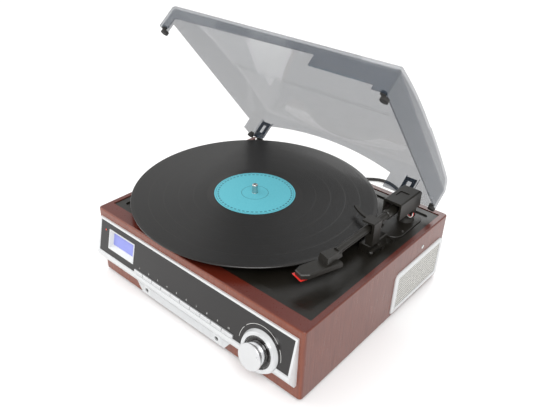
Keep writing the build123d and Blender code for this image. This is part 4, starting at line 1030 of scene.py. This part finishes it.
@dataclass
class SmallFittings:
    """Screws on the sides and the tonearm platform, and the arm's wires.

    Attributes:
        side_screw: Y and Z of the screws in the sides.
        side: Distance from the middle to a side.
        side_radius: Radius of their heads.
        platform_screws: X and Y of the screws in the platform.
        platform_top: Its top.
        platform_radius: Radius of their heads.
        wire: Control points of the first wire.
        wire_pitch: Distance of the wires.
        wire_radius: Their radius.
    """

    side_screw: tuple[float, float] = (83.0, 75.5)
    side: float = 160.0
    side_radius: float = 2.6
    platform_screws: tuple[tuple[float, float], ...] = ((138.0, 70.0), (114.5, 62.0))
    platform_top: float = 93.0
    platform_radius: float = 2.0
    wire: tuple[Point, ...] = (
        (137.4, 92.0, 108.4), (138.2, 91.0, 105.6), (136.6, 90.0, 103.2), (133.0, 91.5, 102.2),
        (129.0, 94.0, 102.7),
    )
    wire_pitch: float = 2.0
    wire_radius: float = 0.6

    def _screw(self, mesh: bmesh.types.BMesh, spot: Vector, turn: Matrix, radius: float) -> None:
        """Adds a domed screw head with a hollow in its middle.

        Args:
            mesh: Where it goes.
            spot: Middle of its seat in metres.
            turn: Turns Z to the screw's axis.
            radius: Its radius in metres.
        """
        frame = Matrix.Translation(spot) @ turn
        profile = [
            (0, 0), (radius, 0), (radius, 0.0003), (radius * 0.8, 0.0009),
            (radius * 0.45, 0.0012), (radius * 0.2, 0.0006), (0, 0.0006),
        ]
        disc(mesh, profile, frame, 24)

    def build(self, shop: Workshop) -> None:
        """Makes the fittings.

        Args:
            shop: Makes the pieces.
        """
        y, z = self.side_screw
        right = Matrix.Rotation(math.pi / 2, 4, "Y")
        left = Matrix.Rotation(-math.pi / 2, 4, "Y")

        def sides(mesh: bmesh.types.BMesh) -> None:
            """Adds the screws in the sides."""
            self._screw(mesh, Vector((self.side, y, z)) * MM, right, self.side_radius * MM)
            self._screw(mesh, Vector((-self.side, y, z)) * MM, left, self.side_radius * MM)

        def platform(mesh: bmesh.types.BMesh) -> None:
            """Adds the screws in the platform."""
            for place in self.platform_screws:
                spot = Vector((*place, self.platform_top)) * MM
                self._screw(mesh, spot, Matrix.Identity(4), self.platform_radius * MM)

        shop.solid("side_screws", sides, Body.BASE, shop.paints.plain(STEEL))
        shop.solid("platform_screws", platform, Body.BASE, shop.paints.plain(BLACK))
        for index, finish in enumerate((WIRE_RED, WIRE_WHITE)):
            shift = self.wire_pitch * index
            points = [(px * MM, (py - shift) * MM, pz * MM) for px, py, pz in self.wire]
            shop.tube(
                f"arm_wire_{index + 1}", points, self.wire_radius * MM,
                Body.ARM_SWIVEL, shop.paints.plain(finish),
            )


class Dressing:
    """Gives every CAD node that stays its material."""

    RECORD: Point = (-0.031, 0.0, 0.1)
    MESH_PITCH = 0.0024
    MESH_HOLE = 0.00062
    GROUPS: tuple[tuple[Finish, tuple[str, ...]], ...] = (
        (BLACK, ("tonearm_base", "arm_rest", "speed_switch", "stop_switch", "pivot_turret", "arm_lifter",
                 "headshell", "cartridge", "arm_sleeve", "pivot_hood", "arm_tube", "speakers", "jacks",
                 "cue_lever", "hinge_blades")),
        (DECK, ("deck",)),
        (GLOSS_BLACK, ("face_panel", "dial_scale")),
        (RUBBER, ("feet", "platter_mat", "drive_belt", "lid_bumpers", "strain_relief", "plug",
                  "power_cord", "power_cord_coil")),
        (SILVER, ("front_bezel", "grilles", "display_frame", "dial_ring")),
        (CHROME, ("knob_body",)),
        (SATIN, ("knob_cap",)),
        (STEEL, ("spindle", "motor_pulley", "hinge_brackets", "motor_bracket", "motor")),
        (CAST, ("platter",)),
        (BRASS, ("bearing_bush",)),
        (RED, ("stylus",)),
        (BOARD, ("cabinet_base", "cleats")),
        (CIRCUIT, ("key_board",)),
        (SCREEN, ("display_screen",)),
    )

    def __init__(self, paints: Paints) -> None:
        """Keeps the materials.

        Args:
            paints: Where materials come from.
        """
        self.paints = paints

    def wear(self) -> None:
        """Assigns a material to each node."""
        foil = self.paints.veneer()
        special = {
            "cabinet_wrap": foil,
            "cabinet_rear": foil,
            "record": self.paints.vinyl(self.RECORD),
            "record_label": self.paints.label(self.RECORD),
            "grille_meshes": self.paints.mesh(self.MESH_PITCH, self.MESH_HOLE),
            "lid": self.paints.smoked(),
        }
        for number in range(1, 11):
            special[f"key_{number}"] = self.paints.plain(KEY_SILVER)
        for finish, names in self.GROUPS:
            for name in names:
                special[name] = self.paints.plain(finish)
        for name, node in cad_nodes().items():
            paint = special.get(name)
            if paint is None:
                LOG.warning("no material for %s", name)
                continue
            if not node.material_slots:
                node.data.materials.append(paint)
            for slot in node.material_slots:
                slot.material = paint


@dataclass(frozen=True)
class View:
    """Camera of the photograph.

    Attributes:
        place: Its place in metres.
        azimuth: Direction it looks from, in degrees.
        elevation: Height angle in degrees.
        roll: Turn about its own axis in degrees.
        lens: Focal length for a 36 mm sensor.
    """

    place: Point = (0.39006, -0.46571, 0.47689)
    azimuth: float = 40.55
    elevation: float = 31.72
    roll: float = 1.64
    lens: float = 39.595

    def build(self) -> None:
        """Makes the camera and hands it to the scene."""
        az, el, roll = (math.radians(a) for a in (self.azimuth, self.elevation, self.roll))
        back = Vector((math.sin(az) * math.cos(el), -math.cos(az) * math.cos(el), math.sin(el)))
        right = (-back).cross(Vector((0, 0, 1))).normalized()
        up = right.cross(-back)
        across = right * math.cos(roll) + up * math.sin(roll)
        upward = -right * math.sin(roll) + up * math.cos(roll)
        data = bpy.data.cameras.new("camera")
        data.lens = self.lens
        data.sensor_width = 36.0
        data.sensor_fit = "HORIZONTAL"
        data.clip_start = 0.01
        camera = bpy.data.objects.new("camera", data)
        bpy.context.scene.collection.objects.link(camera)
        turn = Matrix((across, upward, back)).transposed().to_4x4()
        camera.matrix_world = Matrix.Translation(Vector(self.place)) @ turn
        bpy.context.scene.camera = camera


@dataclass(frozen=True)
class Lamp:
    """One soft light.

    Attributes:
        name: Its name.
        place: Where it stands in metres.
        target: What it points at.
        size: Edge length in metres.
        power: Power in watts.
    """

    name: str
    place: Point
    target: Point
    size: float
    power: float

    def build(self) -> None:
        """Makes the light."""
        data = bpy.data.lights.new(self.name, "AREA")
        data.shape = "SQUARE"
        data.size = self.size
        data.energy = self.power
        made = bpy.data.objects.new(self.name, data)
        bpy.context.scene.collection.objects.link(made)
        aim = Vector(self.target) - Vector(self.place)
        turn = aim.to_track_quat("-Z", "Y").to_matrix().to_4x4()
        made.matrix_world = Matrix.Translation(Vector(self.place)) @ turn


class Studio:
    """Floor, sky and lights."""

    LAMPS = (
        Lamp("key_light", (1.1, -1.3, 1.9), (0.0, 0.0, 0.05), 1.2, 34.0),
        Lamp("fill_light", (-1.6, -0.9, 1.2), (0.0, 0.0, 0.1), 1.4, 10.0),
        Lamp("back_light", (-0.5, 1.7, 1.7), (0.0, 0.1, 0.15), 1.3, 16.0),
    )

    def build(self, paints: Paints) -> None:
        """Makes the studio.

        Args:
            paints: Where materials come from.
        """
        world = bpy.data.worlds.new("studio")
        bpy.context.scene.world = world
        world.use_nodes = True
        sky = world.node_tree.nodes["Background"]
        sky.inputs["Color"].default_value = (1.0, 1.0, 1.0, 1.0)
        sky.inputs["Strength"].default_value = 0.8
        bpy.context.scene.view_settings.view_transform = "Standard"
        for lamp in self.LAMPS:
            lamp.build()
        mesh = bmesh.new()
        bmesh.ops.create_grid(mesh, x_segments=8, y_segments=8, size=6.0)
        data = bpy.data.meshes.new("floor")
        mesh.to_mesh(data)
        mesh.free()
        data.materials.append(paints.plain(FLOOR))
        floor = bpy.data.objects.new("floor", data)
        bpy.context.scene.collection.objects.link(floor)


def main() -> None:
    """Builds the whole scene."""
    logging.basicConfig(level=logging.INFO)
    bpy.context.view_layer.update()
    paints = Paints()
    shop = Workshop(paints)
    View().build()
    Studio().build(paints)
    Dressing(paints).wear()
    MainsLead().build(shop)
    FrontPrint().build(shop)
    ApronRibs().build(shop)
    SmallFittings().build(shop)
    LOG.info("pieces are in place")


if __name__ == "__main__":
    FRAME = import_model()
    main()
